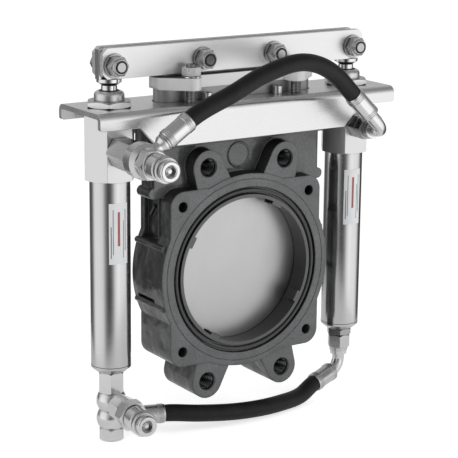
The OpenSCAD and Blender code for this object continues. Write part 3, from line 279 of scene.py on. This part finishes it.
def threaded_group():
    """Rolled thread on an upright stud: one wave of height for each turn."""
    g, gi, out = group("rolled_thread",
                       [("Base", "Color", (0.4, 0.4, 0.4, 1)), ("Turns", "Float", 1.0)],
                       [("Color", "Color"), ("Roughness", "Float"), ("Height", "Float")])
    at = split(g, g.nodes.new("ShaderNodeTexCoord").outputs["Object"])
    wave = maths(g, "SINE", product(g, at["Z"], gi.outputs["Turns"], 2 * math.pi))
    g.links.new(wave, out.inputs["Height"])
    # Painted shade: the thread roots are near black, the crests take the base tone
    crest = ramp(g, wave, ((-1.0, 0.0), (0.2, 1.0)))
    g.links.new(mix_colour(g, crest, (0.05, 0.05, 0.05), gi.outputs["Base"]), out.inputs["Color"])
    g.links.new(ramp(g, noise(g, 80.0), ((0.3, 0.25), (0.7, 0.38))), out.inputs["Roughness"])
    return g


def film_group():
    """Printed film: almost even colour with a faint cloud and a satin face."""
    g, gi, out = group("label_film", [("Base", "Color", (0.8, 0.8, 0.8, 1))],
                       [("Color", "Color"), ("Roughness", "Float"), ("Height", "Float")])
    cloud = noise(g, 120.0, 2.0, 0.5)
    faded = ramp(g, cloud, ((0.4, 0.0), (0.8, 0.08)))
    g.links.new(mix_colour(g, faded, gi.outputs["Base"], (0.4, 0.4, 0.4)), out.inputs["Color"])
    g.links.new(ramp(g, cloud, ((0.3, 0.30), (0.7, 0.40))), out.inputs["Roughness"])
    g.links.new(noise(g, 1500.0, 2.0, 0.5), out.inputs["Height"])
    return g


def rubber_group():
    """Moulded or wrapped rubber: fine wrap marks across the piece and a matte, dusty tone."""
    g, gi, out = group("black_rubber_grain",
                       [("Base", "Color", (0.02, 0.02, 0.02, 1)), ("Scale", "Float", 900.0)],
                       [("Color", "Color"), ("Roughness", "Float"), ("Height", "Float")])
    co = g.nodes.new("ShaderNodeTexCoord").outputs["Object"]
    fine = node(g, "ShaderNodeTexNoise", Detail=3.0, Roughness=0.7)
    g.links.new(co, fine.inputs["Vector"])
    g.links.new(gi.outputs["Scale"], fine.inputs["Scale"])
    cloud = noise(g, 60.0, 3.0, 0.6)
    dust = ramp(g, cloud, ((0.45, 0.0), (0.75, 0.25)))
    g.links.new(mix_colour(g, dust, gi.outputs["Base"], (0.03, 0.03, 0.031)), out.inputs["Color"])
    g.links.new(ramp(g, fine.outputs["Fac"], ((0.3, 0.42), (0.7, 0.58))), out.inputs["Roughness"])
    g.links.new(fine.outputs["Fac"], out.inputs["Height"])
    return g


CAST, BRUSHED, RUBBER = cast_group(), brushed_group(), rubber_group()
THREADED, FILM = threaded_group(), film_group()


def material(name, tree, inputs, metallic=0.0, bump=0.1, distance=0.0001, round_r=0.0, **sockets):
    m = bpy.data.materials.new(name)
    m.use_nodes = True
    t = m.node_tree
    p = t.nodes["Principled BSDF"]
    p.inputs["Metallic"].default_value = metallic
    for key, v in sockets.items():
        p.inputs[key.replace("_", " ")].default_value = v
    g = t.nodes.new("ShaderNodeGroup")
    g.node_tree = tree
    for key, v in inputs.items():
        g.inputs[key].default_value = v
    t.links.new(g.outputs["Color"], p.inputs["Base Color"])
    t.links.new(g.outputs["Roughness"], p.inputs["Roughness"])
    b = node(t, "ShaderNodeBump", Strength=bump, Distance=distance)
    t.links.new(g.outputs["Height"], b.inputs["Height"])
    if round_r:
        r = node(t, "ShaderNodeBevel", samples=8, Radius=round_r * MM)
        t.links.new(r.outputs[0], b.inputs["Normal"])
    t.links.new(b.outputs[0], p.inputs["Normal"])
    return m


def grey(v):
    return (v, v, v, 1)


def brushed(name, tone, lines, low, high, round_r=0.35, bump=0.06, metallic=1.0, top=1.0, **extra):
    return material(name, BRUSHED,
                    {"Base": grey(tone), "Lines": lines, "Low": low, "High": high, "Top": top},
                    metallic=metallic, bump=bump, distance=0.00005, round_r=round_r, **extra)


M = {}
# Painted light: the second, paler tone is for faces flat along Y, lit more than the dark sides
M["casting"] = material("painted_casting", CAST,
                        {"Skin": (0.032, 0.033, 0.034, 1), "LitTone": (0.110, 0.113, 0.116, 1)},
                        bump=0.45, distance=0.0003, round_r=2.6, Specular_IOR_Level=0.8)
M["seat"] = brushed("seat_steel", 0.13, (300, 20, 300), 0.34, 0.46)
M["flange_seal"] = material("flange_seal_rubber", RUBBER,
                            {"Base": (0.062, 0.064, 0.066, 1), "Scale": 700.0}, bump=0.1)
M["seal"] = material("seal_rubber", RUBBER,
                     {"Base": (0.012, 0.012, 0.013, 1), "Scale": 700.0}, bump=0.1)
M["packing"] = material("packing_braid", RUBBER,
                        {"Base": (0.12, 0.11, 0.09, 1), "Scale": 900.0}, bump=0.4)
M["tube"] = brushed("tube_steel", 0.60, (40, 40, 900), 0.16, 0.22, bump=0.03)
M["head"] = brushed("head_steel", 0.66, (500, 500, 60), 0.30, 0.40, round_r=0.6)
M["plate"] = brushed("stainless_sheet", 0.72, (25, 900, 900), 0.24, 0.32, round_r=0.5,
                     bump=0.03)
# Painted shade: the tops of the bars and lock nuts are darker
M["bar"] = brushed("bar_steel", 0.78, (20, 900, 900), 0.32, 0.40, round_r=0.5, bump=0.02,
                   top=0.7)
M["gate"] = brushed("gate_steel", 0.54, (900, 900, 20), 0.36, 0.46, bump=0.03)
# Painted shade: the gland's top face is much darker
M["gland"] = brushed("gland_steel", 0.90, (90, 900, 900), 0.44, 0.56, round_r=0.6,
                     metallic=0.4, top=0.14)
M["follower"] = brushed("follower_steel", 0.44, (90, 900, 900), 0.44, 0.56, round_r=0.6)
GRAIN = (500, 500, 500)
# Copies of one zinc plating at several tones, as painted light and shade: a paler one for parts
# that look brightly lit, greyer and darker ones for parts that look shaded
M["zinc"] = brushed("zinc_plate", 0.74, GRAIN, 0.18, 0.27, round_r=0.4, bump=0.01)
M["lit_zinc"] = brushed("lit_zinc_plate", 0.85, GRAIN, 0.26, 0.36, round_r=0.4, bump=0.01,
                         metallic=0.45)
M["shaded_zinc"] = brushed("shaded_zinc_plate", 0.64, GRAIN, 0.22, 0.32, round_r=0.4, bump=0.01)
M["deep_shaded_zinc"] = brushed("deep_shaded_zinc_plate", 0.46, GRAIN, 0.20, 0.30, round_r=0.4, bump=0.01)
M["thread"] = brushed("cut_thread", 0.17, GRAIN, 0.24, 0.34, round_r=0.0)
# Painted shade: near black for the roots of the lug threads, where a deep hole lets little light in
M["thread_root_shade"] = brushed("thread_root_shade", 0.012, GRAIN, 0.30, 0.40, round_r=0.0, metallic=0.0)
STUD_PITCH = 1.5 * MM
M["stud"] = material("threaded_stud", THREADED,
                     {"Base": (0.40, 0.40, 0.40, 1), "Turns": 1 / STUD_PITCH},
                     metallic=1.0, bump=0.5, distance=0.0003)
# Painted shade: near-black film for the rings that stand in for shade at bolt tips and tube joints
M["dark_shade"] = material("painted_shade_black", RUBBER,
                      {"Base": (0.006, 0.006, 0.007, 1), "Scale": 900.0}, bump=0.05)
M["label"] = material("label_film", FILM, {"Base": (0.84, 0.85, 0.86, 1)}, bump=0.02)
M["ink"] = material("label_ink", FILM, {"Base": (0.13, 0.14, 0.15, 1)}, bump=0.02)
M["red_ink"] = material("label_red_ink", FILM, {"Base": (0.40, 0.09, 0.08, 1)}, bump=0.02)
M["chrome"] = brushed("hard_chrome", 0.72, (900, 900, 60), 0.06, 0.12)
M["bronze"] = material("bearing_bronze", BRUSHED,
                       {"Base": (0.5, 0.33, 0.15, 1), "Lines": (300, 300, 40),
                        "Low": 0.25, "High": 0.4}, metallic=1.0, bump=0.05)
M["hose"] = material("hose_cover", RUBBER,
                     {"Base": (0.005, 0.005, 0.0054, 1), "Scale": 1400.0},
                     bump=0.15, distance=0.0001, Specular_IOR_Level=0.36)

FINISH = {
    "casting": ["body_casting"],
    "seat": ["seat_ring_front", "seat_ring_rear"],
    "flange_seal": ["flange_seal_front", "flange_seal_rear"],
    "seal": ["gate_seal_front", "gate_seal_rear", "rod_wiper_left", "rod_wiper_right"],
    "packing": ["packing"],
    "tube": ["cylinder_tube_left", "cylinder_tube_right", "end_cap_left", "end_cap_right",
             "piston_left", "piston_right"],
    "head": ["cylinder_head_left", "cylinder_head_right"],
    "plate": ["mounting_plate"],
    "bar": ["crossbar_front", "crossbar_rear", "lock_nut_left", "lock_nut_right"],
    "gate": ["gate"],
    "gland": ["gland_flange"],
    "follower": ["gland_follower"],
    "chrome": ["rod_left", "rod_right"],
    "bronze": ["rod_bush_left", "rod_bush_right"],
    "stud": ["gland_studs"],
    "lit_zinc": ["gland_nuts"],
    "zinc": ["gland_washers", "upper_banjo_eye", "upper_nipple", "upper_poppet", "bonded_seals",
             "upper_elbow", "lower_poppet", "lower_left_adaptor", "lower_coupler_eye",
             "lower_hose_eye", "lower_banjo_bolt", "lower_nipple", "lower_elbow"],
    "shaded_zinc": ["upper_left_adaptor", "crossbar_nuts", "plate_screws", "lower_swivel_nut"],
    "deep_shaded_zinc": ["upper_right_adaptor", "upper_swivel_nut", "lower_right_adaptor",
                  "crossbar_washers", "crossbar_bolts"],
}


def carry_over_cad():
    for key, names in FINISH.items():
        for n in names:
            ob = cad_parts[n]
            ob.data.materials.clear()
            ob.data.materials.append(M[key])


# ---------------------------------------------------------------- mesh helpers

def mesh_piece(name, verts, faces, mat, body, smooth=True, angle=35.0):
    me = bpy.data.meshes.new(name)
    me.from_pydata([Vector(v) * MM for v in verts], [], faces)
    me.update()
    ob = bpy.data.objects.new(name, me)
    bpy.context.scene.collection.objects.link(ob)
    me.materials.append(M[mat] if isinstance(mat, str) else mat)
    if smooth:
        me.shade_smooth()
        me.set_sharp_from_angle(angle=math.radians(angle))
    if body:
        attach(ob, body)
    return ob


def revolve(name, profile, place, mat, body, sides=48, wave=None):
    """Turns (radius, height) pairs about Z and puts them in place. wave scales the radius."""
    verts, faces = [], []
    n = len(profile)
    for k in range(sides):
        a = 2 * math.pi * k / sides
        for r, z in profile:
            q = r * (wave(a, z) if wave else 1.0)
            verts.append(place @ Vector((q * math.cos(a), q * math.sin(a), z)))
    for k in range(sides):
        j = (k + 1) % sides
        for i in range(n - 1):
            faces.append((k * n + i, j * n + i, j * n + i + 1, k * n + i + 1))
    return mesh_piece(name, verts, faces, mat, body)


def towards(at, axis):
    """Matrix that puts the origin at a point and turns Z to an axis."""
    turn = Vector(axis).normalized().to_track_quat("Z", "Y").to_matrix().to_4x4()
    return Matrix.Translation(Vector(at)) @ turn


# ---------------------------------------------------------------- hoses

def unit(v):
    return Vector(v).normalized()


def smooth_line(p, first, last, steps):
    """The same line as in the CAD source: points joined by cubics with the given end directions."""
    def tangent(i):
        if i == 0:
            return first
        if i == len(p) - 1:
            return last
        return unit(p[i + 1] - p[i - 1])
    out = []
    for i in range(len(p) - 1):
        a, b, ta, tb = p[i], p[i + 1], tangent(i), tangent(i + 1)
        span = (b - a).length
        for k in range(steps):
            t = k / steps
            out.append((2 * t**3 - 3 * t * t + 1) * a + (t**3 - 2 * t * t + t) * span * ta
                       + (3 * t * t - 2 * t**3) * b + (t**3 - t * t) * span * tb)
    out.append(p[-1])
    return out


# The ports of the cylinder heads are turned a little about the upright axis
PORT_YAW = math.radians(-4)
AHEAD = Vector((math.sin(PORT_YAW), -math.cos(PORT_YAW), 0))


def level(angle):
    """Direction across the port axis, at an angle in degrees above the level."""
    a = math.radians(angle)
    return Vector((math.cos(a) * math.cos(PORT_YAW), math.cos(a) * math.sin(PORT_YAW), math.sin(a)))


# Upper hose: from the banjo eye before the left cylinder to the elbow before the right one
EYE_OUT, EYE_STEM = 71.5, 29.0
ELBOW_OUT, UPPER_R, ELBOW_STEM = 59.0, 18.0, 10.0
UPPER_DIR, UPPER_END_DIR = level(35), level(134)
UPPER_EYE = Vector((-CYL_X, 0, PORT_Z)) + EYE_OUT * AHEAD
UPPER_TURN = Vector((CYL_X, 0, PORT_Z)) + (ELBOW_OUT + UPPER_R) * AHEAD
UPPER_FERRULE_1 = UPPER_EYE + EYE_STEM * UPPER_DIR
UPPER_FERRULE_2 = UPPER_TURN + (UPPER_R + ELBOW_STEM) * UPPER_END_DIR
UPPER_ROUTE = [(-49, -76, 192), (-15, -77, 207), (28, -77, 216), (63, -76, 206)]

# Lower hose: from the banjo eye under the left cylinder to the elbow under the right one
LOWER_YAW, LOWER_Z, LOWER_STEM = math.radians(-19), -139.45, 23.0
LOWER_DIR = Vector((math.cos(LOWER_YAW), math.sin(LOWER_YAW), 0))
LOWER_BEND, LOWER_TURN, LOWER_R = math.radians(78), math.radians(164), 14.0
LOWER_PORT_Z, LOWER_DROP, LOWER_ELBOW_STEM = -90.0, 33.5, 1.5
LOWER_OUT = Vector((math.cos(LOWER_TURN), -math.sin(LOWER_TURN), 0))
LOWER_END_DIR = math.sin(LOWER_BEND) * LOWER_OUT - Vector((0, 0, math.cos(LOWER_BEND)))
LOWER_ELBOW_END = (Vector((CYL_X, 0, LOWER_PORT_Z - LOWER_DROP - LOWER_R * math.sin(LOWER_BEND)))
                   + LOWER_R * (1 - math.cos(LOWER_BEND)) * LOWER_OUT)
LOWER_FERRULE_1 = Vector((-CYL_X, 0, LOWER_Z)) + LOWER_STEM * LOWER_DIR
LOWER_FERRULE_2 = LOWER_ELBOW_END + LOWER_ELBOW_STEM * LOWER_END_DIR
LOWER_ROUTE = [(-56, -28, -143), (-20, -33, -147), (14, -32, -150), (48, -26, -152),
               (78, -18, -152)]


def hose(name, start, route, end, d0, d1):
    """Round hose cover that ends at its two ferrules, pressed in a little where they grip it."""
    pts = smooth_line([start] + [Vector(q) for q in route] + [end], d0, d1, 14)
    sides, verts, faces, s = 40, [], [], 0.0
    total = sum((pts[i + 1] - pts[i]).length for i in range(len(pts) - 1))
    for i, p in enumerate(pts):
        t = d0 if i == 0 else d1 if i == len(pts) - 1 else unit(pts[i + 1] - pts[i - 1])
        if i:
            s += (p - pts[i - 1]).length
        near = min(s, total - s)
        r = HOSE_D / 2 * (1 - 0.035 * math.exp(-near / 1.5))
        a = unit(t.cross(Vector((0, 1, 0))))
        b = t.cross(a)
        for k in range(sides):
            w = 2 * math.pi * k / sides
            verts.append(p + r * (math.cos(w) * a + math.sin(w) * b))
    for i in range(len(pts) - 1):
        for k in range(sides):
            j = (k + 1) % sides
            faces.append((i * sides + k, i * sides + j, (i + 1) * sides + j, (i + 1) * sides + k))
    faces.append(tuple(range(sides - 1, -1, -1)))
    faces.append(tuple((len(pts) - 1) * sides + k for k in range(sides)))
    ob = mesh_piece(name, verts, faces, "hose", BODY, angle=60)
    return ob, pts, total


def hoses():
    spec = [("hose_cover_upper", "upper_hose", UPPER_FERRULE_1, UPPER_DIR, UPPER_ROUTE,
             UPPER_FERRULE_2, UPPER_END_DIR),
            ("hose_cover_lower", "lower_hose", LOWER_FERRULE_1, LOWER_DIR, LOWER_ROUTE,
             LOWER_FERRULE_2, LOWER_END_DIR)]
    for name, cad, ferrule_1, d0, route, ferrule_2, d1 in spec:
        start, end = ferrule_1 + FERRULE_L * d0, ferrule_2 + FERRULE_L * d1
        ob, pts, total = hose(name, start, route, end, d0, -d1)
        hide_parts(cad)


def ferrule(side, start, axis, mat):
    """Crimped sleeve: eight pressed flats between three pressed rings at either end."""
    r, l = FERRULE_D / 2, FERRULE_L

    def rings(z):
        out = []
        for _ in range(3):
            out += [(r - 0.15, z), (r + 0.35, z + 0.3), (r + 0.35, z + 0.9), (r - 0.15, z + 1.2)]
            z += 2.0
        return out
    prof = [(5.6, 0.0), (r - 2, 0.0), (r - 0.8, 0.5)] + rings(1.2)
    prof += [(r - 0.1, 7.6 + 0.75 * i) for i in range(21)]
    prof += rings(23.8) + [(r - 0.1, l - 0.8), (r - 0.6, l), (HOSE_D / 2 - 0.35, l)]

    def wave(a, z):
        grip = max(0.0, min(1.0, (z - 7.6) / 1.2, (22.6 - z) / 1.2))
        return 1.0 - 0.016 * grip * abs(math.cos(4 * a)) ** 3
    place = towards(start, axis)
    ob = revolve("crimped_sleeve_" + side, prof, place, mat, BODY, sides=96, wave=wave)
    cad = side + "_ferrule"
    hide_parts(cad)


def ferrules():
    ferrule("upper_left", UPPER_FERRULE_1, UPPER_DIR, "zinc")
    ferrule("upper_right", UPPER_FERRULE_2, UPPER_END_DIR, "zinc")
    # Painted shade: the lower sleeves take a darker copy of the zinc plating
    ferrule("lower_left", LOWER_FERRULE_1, LOWER_DIR, "shaded_zinc")
    ferrule("lower_right", LOWER_FERRULE_2, LOWER_END_DIR, "shaded_zinc")


# ---------------------------------------------------------------- pieces beside the CAD ones

LUG_CIRCLE_R, LUG_ANGLE, LUG_HOLE_R, LUG_PITCH = 120.0, math.radians(22.5), 8.8, 3.0
LUG_X, LUG_Z = LUG_CIRCLE_R * math.sin(LUG_ANGLE), LUG_CIRCLE_R * math.cos(LUG_ANGLE)
BOSS_Z, BOSS_Y = 117.0, -12.3
NUT_FACE, BOLT_Z, BOLT_XS = -24.3, 216.6, (-141.8, -42.3, 42.3, 141.8)
TUBE_R, TUBE_BOTTOM = 20.0, -82.0


def thread(name, place, length, crest, root, pitch, body):
    """Skin of a cut thread with bright crests: the radius swings to the root once per turn, and the
    roots get a near-black material as painted shade.
    """
    sides, rows = 40, 6
    n = int(length / pitch * rows)

    def wave(a, z):
        f = (z / pitch - a / (2 * math.pi)) % 1.0
        return crest + (root - crest) * min(1.0, max(0.0, 1.7 * (1 - abs(2 * f - 1)) - 0.2))
    prof = [(1.0, length * i / n) for i in range(n + 1)]
    ob = revolve(name, prof, place, "thread", body, sides=sides, wave=wave)
    ob.data.materials.append(M["thread_root_shade"])
    for f in ob.data.polygons:
        k, i = divmod(f.index, n)
        r = wave(2 * math.pi * (k + 0.5) / sides, length * (i + 0.5) / n)
        f.material_index = 0 if r < crest + 0.3 * (root - crest) else 1


def lug_threads():
    half = FACE - 2.2
    lugs = ((-LUG_X, LUG_Z), (LUG_X, LUG_Z), (-LUG_X, -LUG_Z), (LUG_X, -LUG_Z))
    for k, (x, z) in enumerate(lugs):
        thread("lug_thread_%d" % (k + 1), towards((x, half, z), (0, -1, 0)), 2 * half,
               LUG_HOLE_R - 1.5, LUG_HOLE_R - 0.04, LUG_PITCH, BODY)


def boss_ring():
    """Raised plain ring round the cast boss on the neck."""
    prof = [(11.0, 0.0), (11.3, 0.55), (11.7, 0.75), (12.3, 0.75), (12.7, 0.55), (12.95, 0.0)]
    place = towards((0, BOSS_Y, BOSS_Z), (0, -1, 0))
    revolve("boss_ring", prof, place, "casting", BODY, sides=72)


def chamfer_shade_rings():
    """Painted shade: a dark ring between each crossbar bolt's tip and its lock nut, standing in for
    the shade on the bolt's chamfer.
    """
    prof = [(4.5, 0.0), (4.5, 0.68), (4.9, 0.85), (6.0, 0.82), (6.4, 0.5), (6.4, 0.02)]
    for k, x in enumerate(BOLT_XS):
        place = towards((x, NUT_FACE, BOLT_Z), (0, -1, 0))
        revolve("nylon_insert_%d" % (k + 1), prof, place, "dark_shade", LIFT)


def cap_joints():
    """Painted shade: a dark ring in the joint between each tube and the cap below it, standing in
    for the joint's shadow.
    """
    prof = [(TUBE_R - 0.5, 0.0), (TUBE_R + 0.03, 0.0), (TUBE_R + 0.03, 0.6), (TUBE_R - 0.5, 0.6)]
    for side, x in (("left", -CYL_X), ("right", CYL_X)):
        place = Matrix.Translation((x, 0, TUBE_BOTTOM - 0.3))
        revolve("cap_joint_" + side, prof, place, "dark_shade", BODY, sides=72)


def wrapped(name, x, a0, a1, z0, z1, r, mat):
    """Thin sheet laid round a tube between two angles, 0 facing straight forward."""
    n = max(2, round((a1 - a0) / 3))
    verts, faces = [], []
    for i in range(n + 1):
        a = math.radians(a0 + (a1 - a0) * i / n)
        for q, z in ((TUBE_R + 0.01, z0), (r, z0), (r, z1), (TUBE_R + 0.01, z1)):
            verts.append((x + q * math.sin(a), -q * math.cos(a), z))
    for i in range(n):
        for k in range(4):
            faces.append((4 * i + k, 4 * i + 4 + k, 4 * i + 4 + (k + 1) % 4, 4 * i + (k + 1) % 4))
    faces += [(3, 2, 1, 0), tuple(4 * n + k for k in range(4))]
    mesh_piece(name, verts, faces, mat, BODY)


# Plain bars on each label: first and last angle in degrees, first and last share of its height
LABEL_BARS = [(-28, -25.5, 0.10, 0.62), (-22, -20, 0.16, 0.90), (9, 11, 0.10, 0.72),
              (15, 17.5, 0.22, 0.90)]


def labels():
    """White film on each tube with four dark bars and a red one."""
    for side, x, low, high in (("left", -CYL_X, 24.0, 84.5), ("right", CYL_X, 28.5, 87.5)):
        h = high - low
        wrapped("label_" + side, x, -33, 25, low, high, TUBE_R + 0.10, "label")
        for k, (a0, a1, f0, f1) in enumerate(LABEL_BARS):
            wrapped("label_%s_bar_%d" % (side, k + 1), x, a0, a1, low + f0 * h, low + f1 * h,
                    TUBE_R + 0.14, "ink")
        wrapped("label_%s_band" % side, x, -8, -1, low + 0.30 * h, low + 0.86 * h,
                TUBE_R + 0.14, "red_ink")


# Seat ring tabs: how far they reach in, how wide they are, where they start and end along Y
SEAT_TAB_H, SEAT_TAB_W, SEAT_TAB_FROM, SEAT_TAB_TO = 3.5, 12.0, FACE - 0.45, FACE - 8.0


def seat_tab_nose(name, s, out, along):
    """One tab nose on the front (s = -1) or rear (s = 1) ring, reaching in against out."""
    r0, r1, half, n = BORE_R - SEAT_TAB_H, BORE_R + 0.4, SEAT_TAB_W / 2, 8
    verts, faces = [], []
    for i in range(n + 1):
        w = half * (2 * i / n - 1)
        near = r0 + 0.5 * (abs(w) / half) ** 8
        section = [(near, SEAT_TAB_FROM - 0.5), (near + 0.5, SEAT_TAB_FROM), (r1, SEAT_TAB_FROM),
                   (r1, SEAT_TAB_TO), (near, SEAT_TAB_TO)]
        for r, y in section:
            verts.append(math.sqrt(r * r - w * w) * out + w * along + Vector((0, s * y, 0)))
    m = len(section)
    for i in range(n):
        for j in range(m):
            q = (j + 1) % m
            faces.append((m * i + j, m * i + q, m * i + m + q, m * i + m + j)[::-s])
    faces += [tuple(range(m))[::s], tuple(m * n + j for j in range(m))[::-s]]
    mesh_piece(name, verts, faces, "seat", BODY)


def seat_tab_noses():
    """Front end of each seat ring tab, level with the ring's lip."""
    for side, s in (("front", -1), ("rear", 1)):
        for k in range(4):
            a = math.radians(60 + 90 * k)
            out = Vector((math.cos(a), 0, math.sin(a)))
            along = Vector((-math.sin(a), 0, math.cos(a)))
            seat_tab_nose("seat_tab_%s_%d" % (side, k + 1), s, out, along)


def flange_seals():
    """Moulded seal in each flange face, its front rounded."""
    mid, half, flank, crown, root = 82.5, 1.55, 2.2, 1.3, 25.2
    arc = [math.pi * k / 10 for k in range(1, 10)]
    prof = [(mid + half, 0.0), (mid + half, flank)]
    prof += [(mid + half * math.cos(t), flank + crown * math.sin(t)) for t in arc]
    prof += [(mid - half, flank), (mid - half, 0.0), (mid + half, 0.0)]
    for side, s in (("front", -1), ("rear", 1)):
        place = towards((0, s * root, 0), (0, s, 0))
        ob = revolve("moulded_seal_" + side, prof, place, "flange_seal", BODY, sides=160)
        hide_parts("flange_seal_" + side)


# ---------------------------------------------------------------- camera, light and floor

CAM_AZ, CAM_EL, CAM_ROLL = math.radians(-33.56), math.radians(13.82), math.radians(0.56)
CAM_AT, CAM_DIST, CAM_F_PX, PHOTO_PX = Vector((-2.6, 0, 37.2)), 1743.8, 1705.7, 458.0


def camera():
    level_part = math.cos(CAM_EL)
    back = Vector((math.sin(CAM_AZ) * level_part, -math.cos(CAM_AZ) * level_part, math.sin(CAM_EL)))
    fwd = -back
    right = fwd.cross(Vector((0, 0, 1))).normalized()
    up = right.cross(fwd)
    r2 = right * math.cos(CAM_ROLL) + up * math.sin(CAM_ROLL)
    u2 = up * math.cos(CAM_ROLL) - right * math.sin(CAM_ROLL)
    data = bpy.data.cameras.new("camera")
    data.sensor_width = 36.0
    data.lens = 36.0 * CAM_F_PX / PHOTO_PX
    ob = bpy.data.objects.new("camera", data)
    bpy.context.scene.collection.objects.link(ob)
    m = Matrix((r2, u2, back)).transposed().to_4x4()
    m.translation = (CAM_AT + back * CAM_DIST) * MM
    ob.matrix_world = m
    bpy.context.scene.camera = ob


def area(name, at, aim, size, power):
    """Soft lamp that metal doesn't mirror."""
    data = bpy.data.lights.new(name, "AREA")
    data.shape = "RECTANGLE"
    data.size, data.size_y = size
    data.energy = power
    ob = bpy.data.objects.new(name, data)
    bpy.context.scene.collection.objects.link(ob)
    ob.location = at
    ob.visible_glossy = False
    ob.rotation_euler = (Vector(aim) - Vector(at)).to_track_quat("-Z", "Y").to_euler()


# Brightness of the studio by angle round the object in degrees: 0 is where the camera of the
# photograph stands, and positive angles lie to its right
LOW_ROOM = [(-180, 0.70), (-162, 0.65), (-150, 0.10), (-122, 0.12), (-110, 0.28), (-98, 0.85),
            (-90, 1.10), (-62, 1.10), (-38, 0.95), (-22, 0.30), (-8, 0.08), (6, 0.10),
            (18, 0.34), (32, 1.00), (50, 1.36), (66, 1.20), (84, 1.20), (104, 1.0),
            (116, 0.35), (128, 0.06), (152, 0.05), (166, 0.60), (180, 0.70)]
HIGH_ROOM = [(-180, 0.45), (-150, 0.62), (-125, 0.50), (-90, 0.95), (-55, 1.00), (-20, 0.45),
             (0, 0.20), (20, 0.30), (45, 0.75), (70, 0.60), (100, 0.15), (130, 0.40),
             (155, 0.58), (180, 0.45)]


def room_ramp(t, fac, stops):
    cr = t.nodes.new("ShaderNodeValToRGB")
    t.links.new(fac, cr.inputs[0])
    while len(cr.color_ramp.elements) < len(stops):
        cr.color_ramp.elements.new(0.5)
    for e, (angle, v) in zip(cr.color_ramp.elements, stops):
        e.position = 0.5 + angle / 360
        e.color = (v, v, v, 1)
    return cr.outputs[0]


def seen_rays(t, share):
    """1 for what the camera sees straight, the given share for what it sees in a piece."""
    path = t.nodes.new("ShaderNodeLightPath").outputs
    mirrored = added(t, path["Is Glossy Ray"], path["Is Transmission Ray"])
    return added(t, path["Is Camera Ray"], product(t, mirrored, share))


def lights():
    area("key_right", (1.5, -1.6, 1.1), (0, 0, 0.02), (1.6, 1.5), 17)
    area("key_left", (-1.9, -0.7, 1.2), (0, 0, 0.02), (1.1, 1.2), 10)
    world = bpy.data.worlds.new("studio")
    bpy.context.scene.world = world
    world.use_nodes = True
    t = world.node_tree
    bg = t.nodes["Background"]
    co = t.nodes.new("ShaderNodeTexCoord")
    turn = node(t, "ShaderNodeVectorRotate", rotation_type="Z_AXIS", Angle=-CAM_AZ)
    t.links.new(co.outputs["Generated"], turn.inputs["Vector"])
    to = split(t, turn.outputs[0])
    side = maths(t, "ARCTAN2", to["X"], product(t, to["Y"], -1.0))
    fac = added(t, maths(t, "DIVIDE", side, 2 * math.pi), 0.5)
    rise = ramp(t, to["Z"], ((0.0, 0.0), (0.40, 1.0)))
    walls = mix_colour(t, rise, room_ramp(t, fac, LOW_ROOM), room_ramp(t, fac, HIGH_ROOM))
    ceiling = ramp(t, to["Z"], ((0.60, 0.0), (0.80, 1.0)))
    t.links.new(mix_colour(t, ceiling, walls, (0.30, 0.30, 0.30)), bg.inputs["Color"])
    bg.inputs["Strength"].default_value = 1.0
    white = node(t, "ShaderNodeBackground", Strength=1.05)
    white.inputs["Color"].default_value = (1, 1, 1, 1)
    behind = product(t, ramp(t, maths(t, "ABSOLUTE", side), ((2.80, 0.0), (2.97, 1.0))),
                     ramp(t, to["Z"], ((0.05, 0.0), (-0.05, 1.0))))
    mix = t.nodes.new("ShaderNodeMixShader")
    t.links.new(seen_rays(t, behind), mix.inputs[0])
    t.links.new(bg.outputs[0], mix.inputs[1])
    t.links.new(white.outputs[0], mix.inputs[2])
    t.links.new(mix.outputs[0], t.nodes["World Output"].inputs[0])


def floor():
    z, r, sides = cad_box[0][2] / MM - 0.5, 420, 96
    turns = [2 * math.pi * k / sides for k in range(sides)]
    rim = [(r * math.cos(a), r * math.sin(a), z) for a in turns]
    mesh_piece("studio_floor", rim, [tuple(range(sides))], floor_material(), None,
                        smooth=False)


def floor_material():
    m = bpy.data.materials.new("pale_floor")
    m.use_nodes = True
    t = m.node_tree
    p = t.nodes["Principled BSDF"]
    p.inputs["Roughness"].default_value = 0.9
    p.inputs["Specular IOR Level"].default_value = 0.1
    fac = noise(t, 4.0, 2.0, 0.5)
    t.links.new(mix_colour(t, fac, (0.90, 0.90, 0.90), (0.92, 0.92, 0.92)), p.inputs["Base Color"])
    glow = node(t, "ShaderNodeEmission", Strength=0.62)
    add = t.nodes.new("ShaderNodeAddShader")
    mix = t.nodes.new("ShaderNodeMixShader")
    t.links.new(p.outputs[0], add.inputs[0])
    t.links.new(glow.outputs[0], add.inputs[1])
    t.links.new(seen_rays(t, 0.3), mix.inputs[0])
    t.links.new(p.outputs[0], mix.inputs[1])
    t.links.new(add.outputs[0], mix.inputs[2])
    t.links.new(mix.outputs[0], t.nodes["Material Output"].inputs[0])
    return m


camera()
hoses()
carry_over_cad()
ferrules()
flange_seals()
seat_tab_noses()
lug_threads()
boss_ring()
chamfer_shade_rings()
cap_joints()
labels()
lights()
floor()

bpy.context.scene.view_settings.view_transform = "Standard"
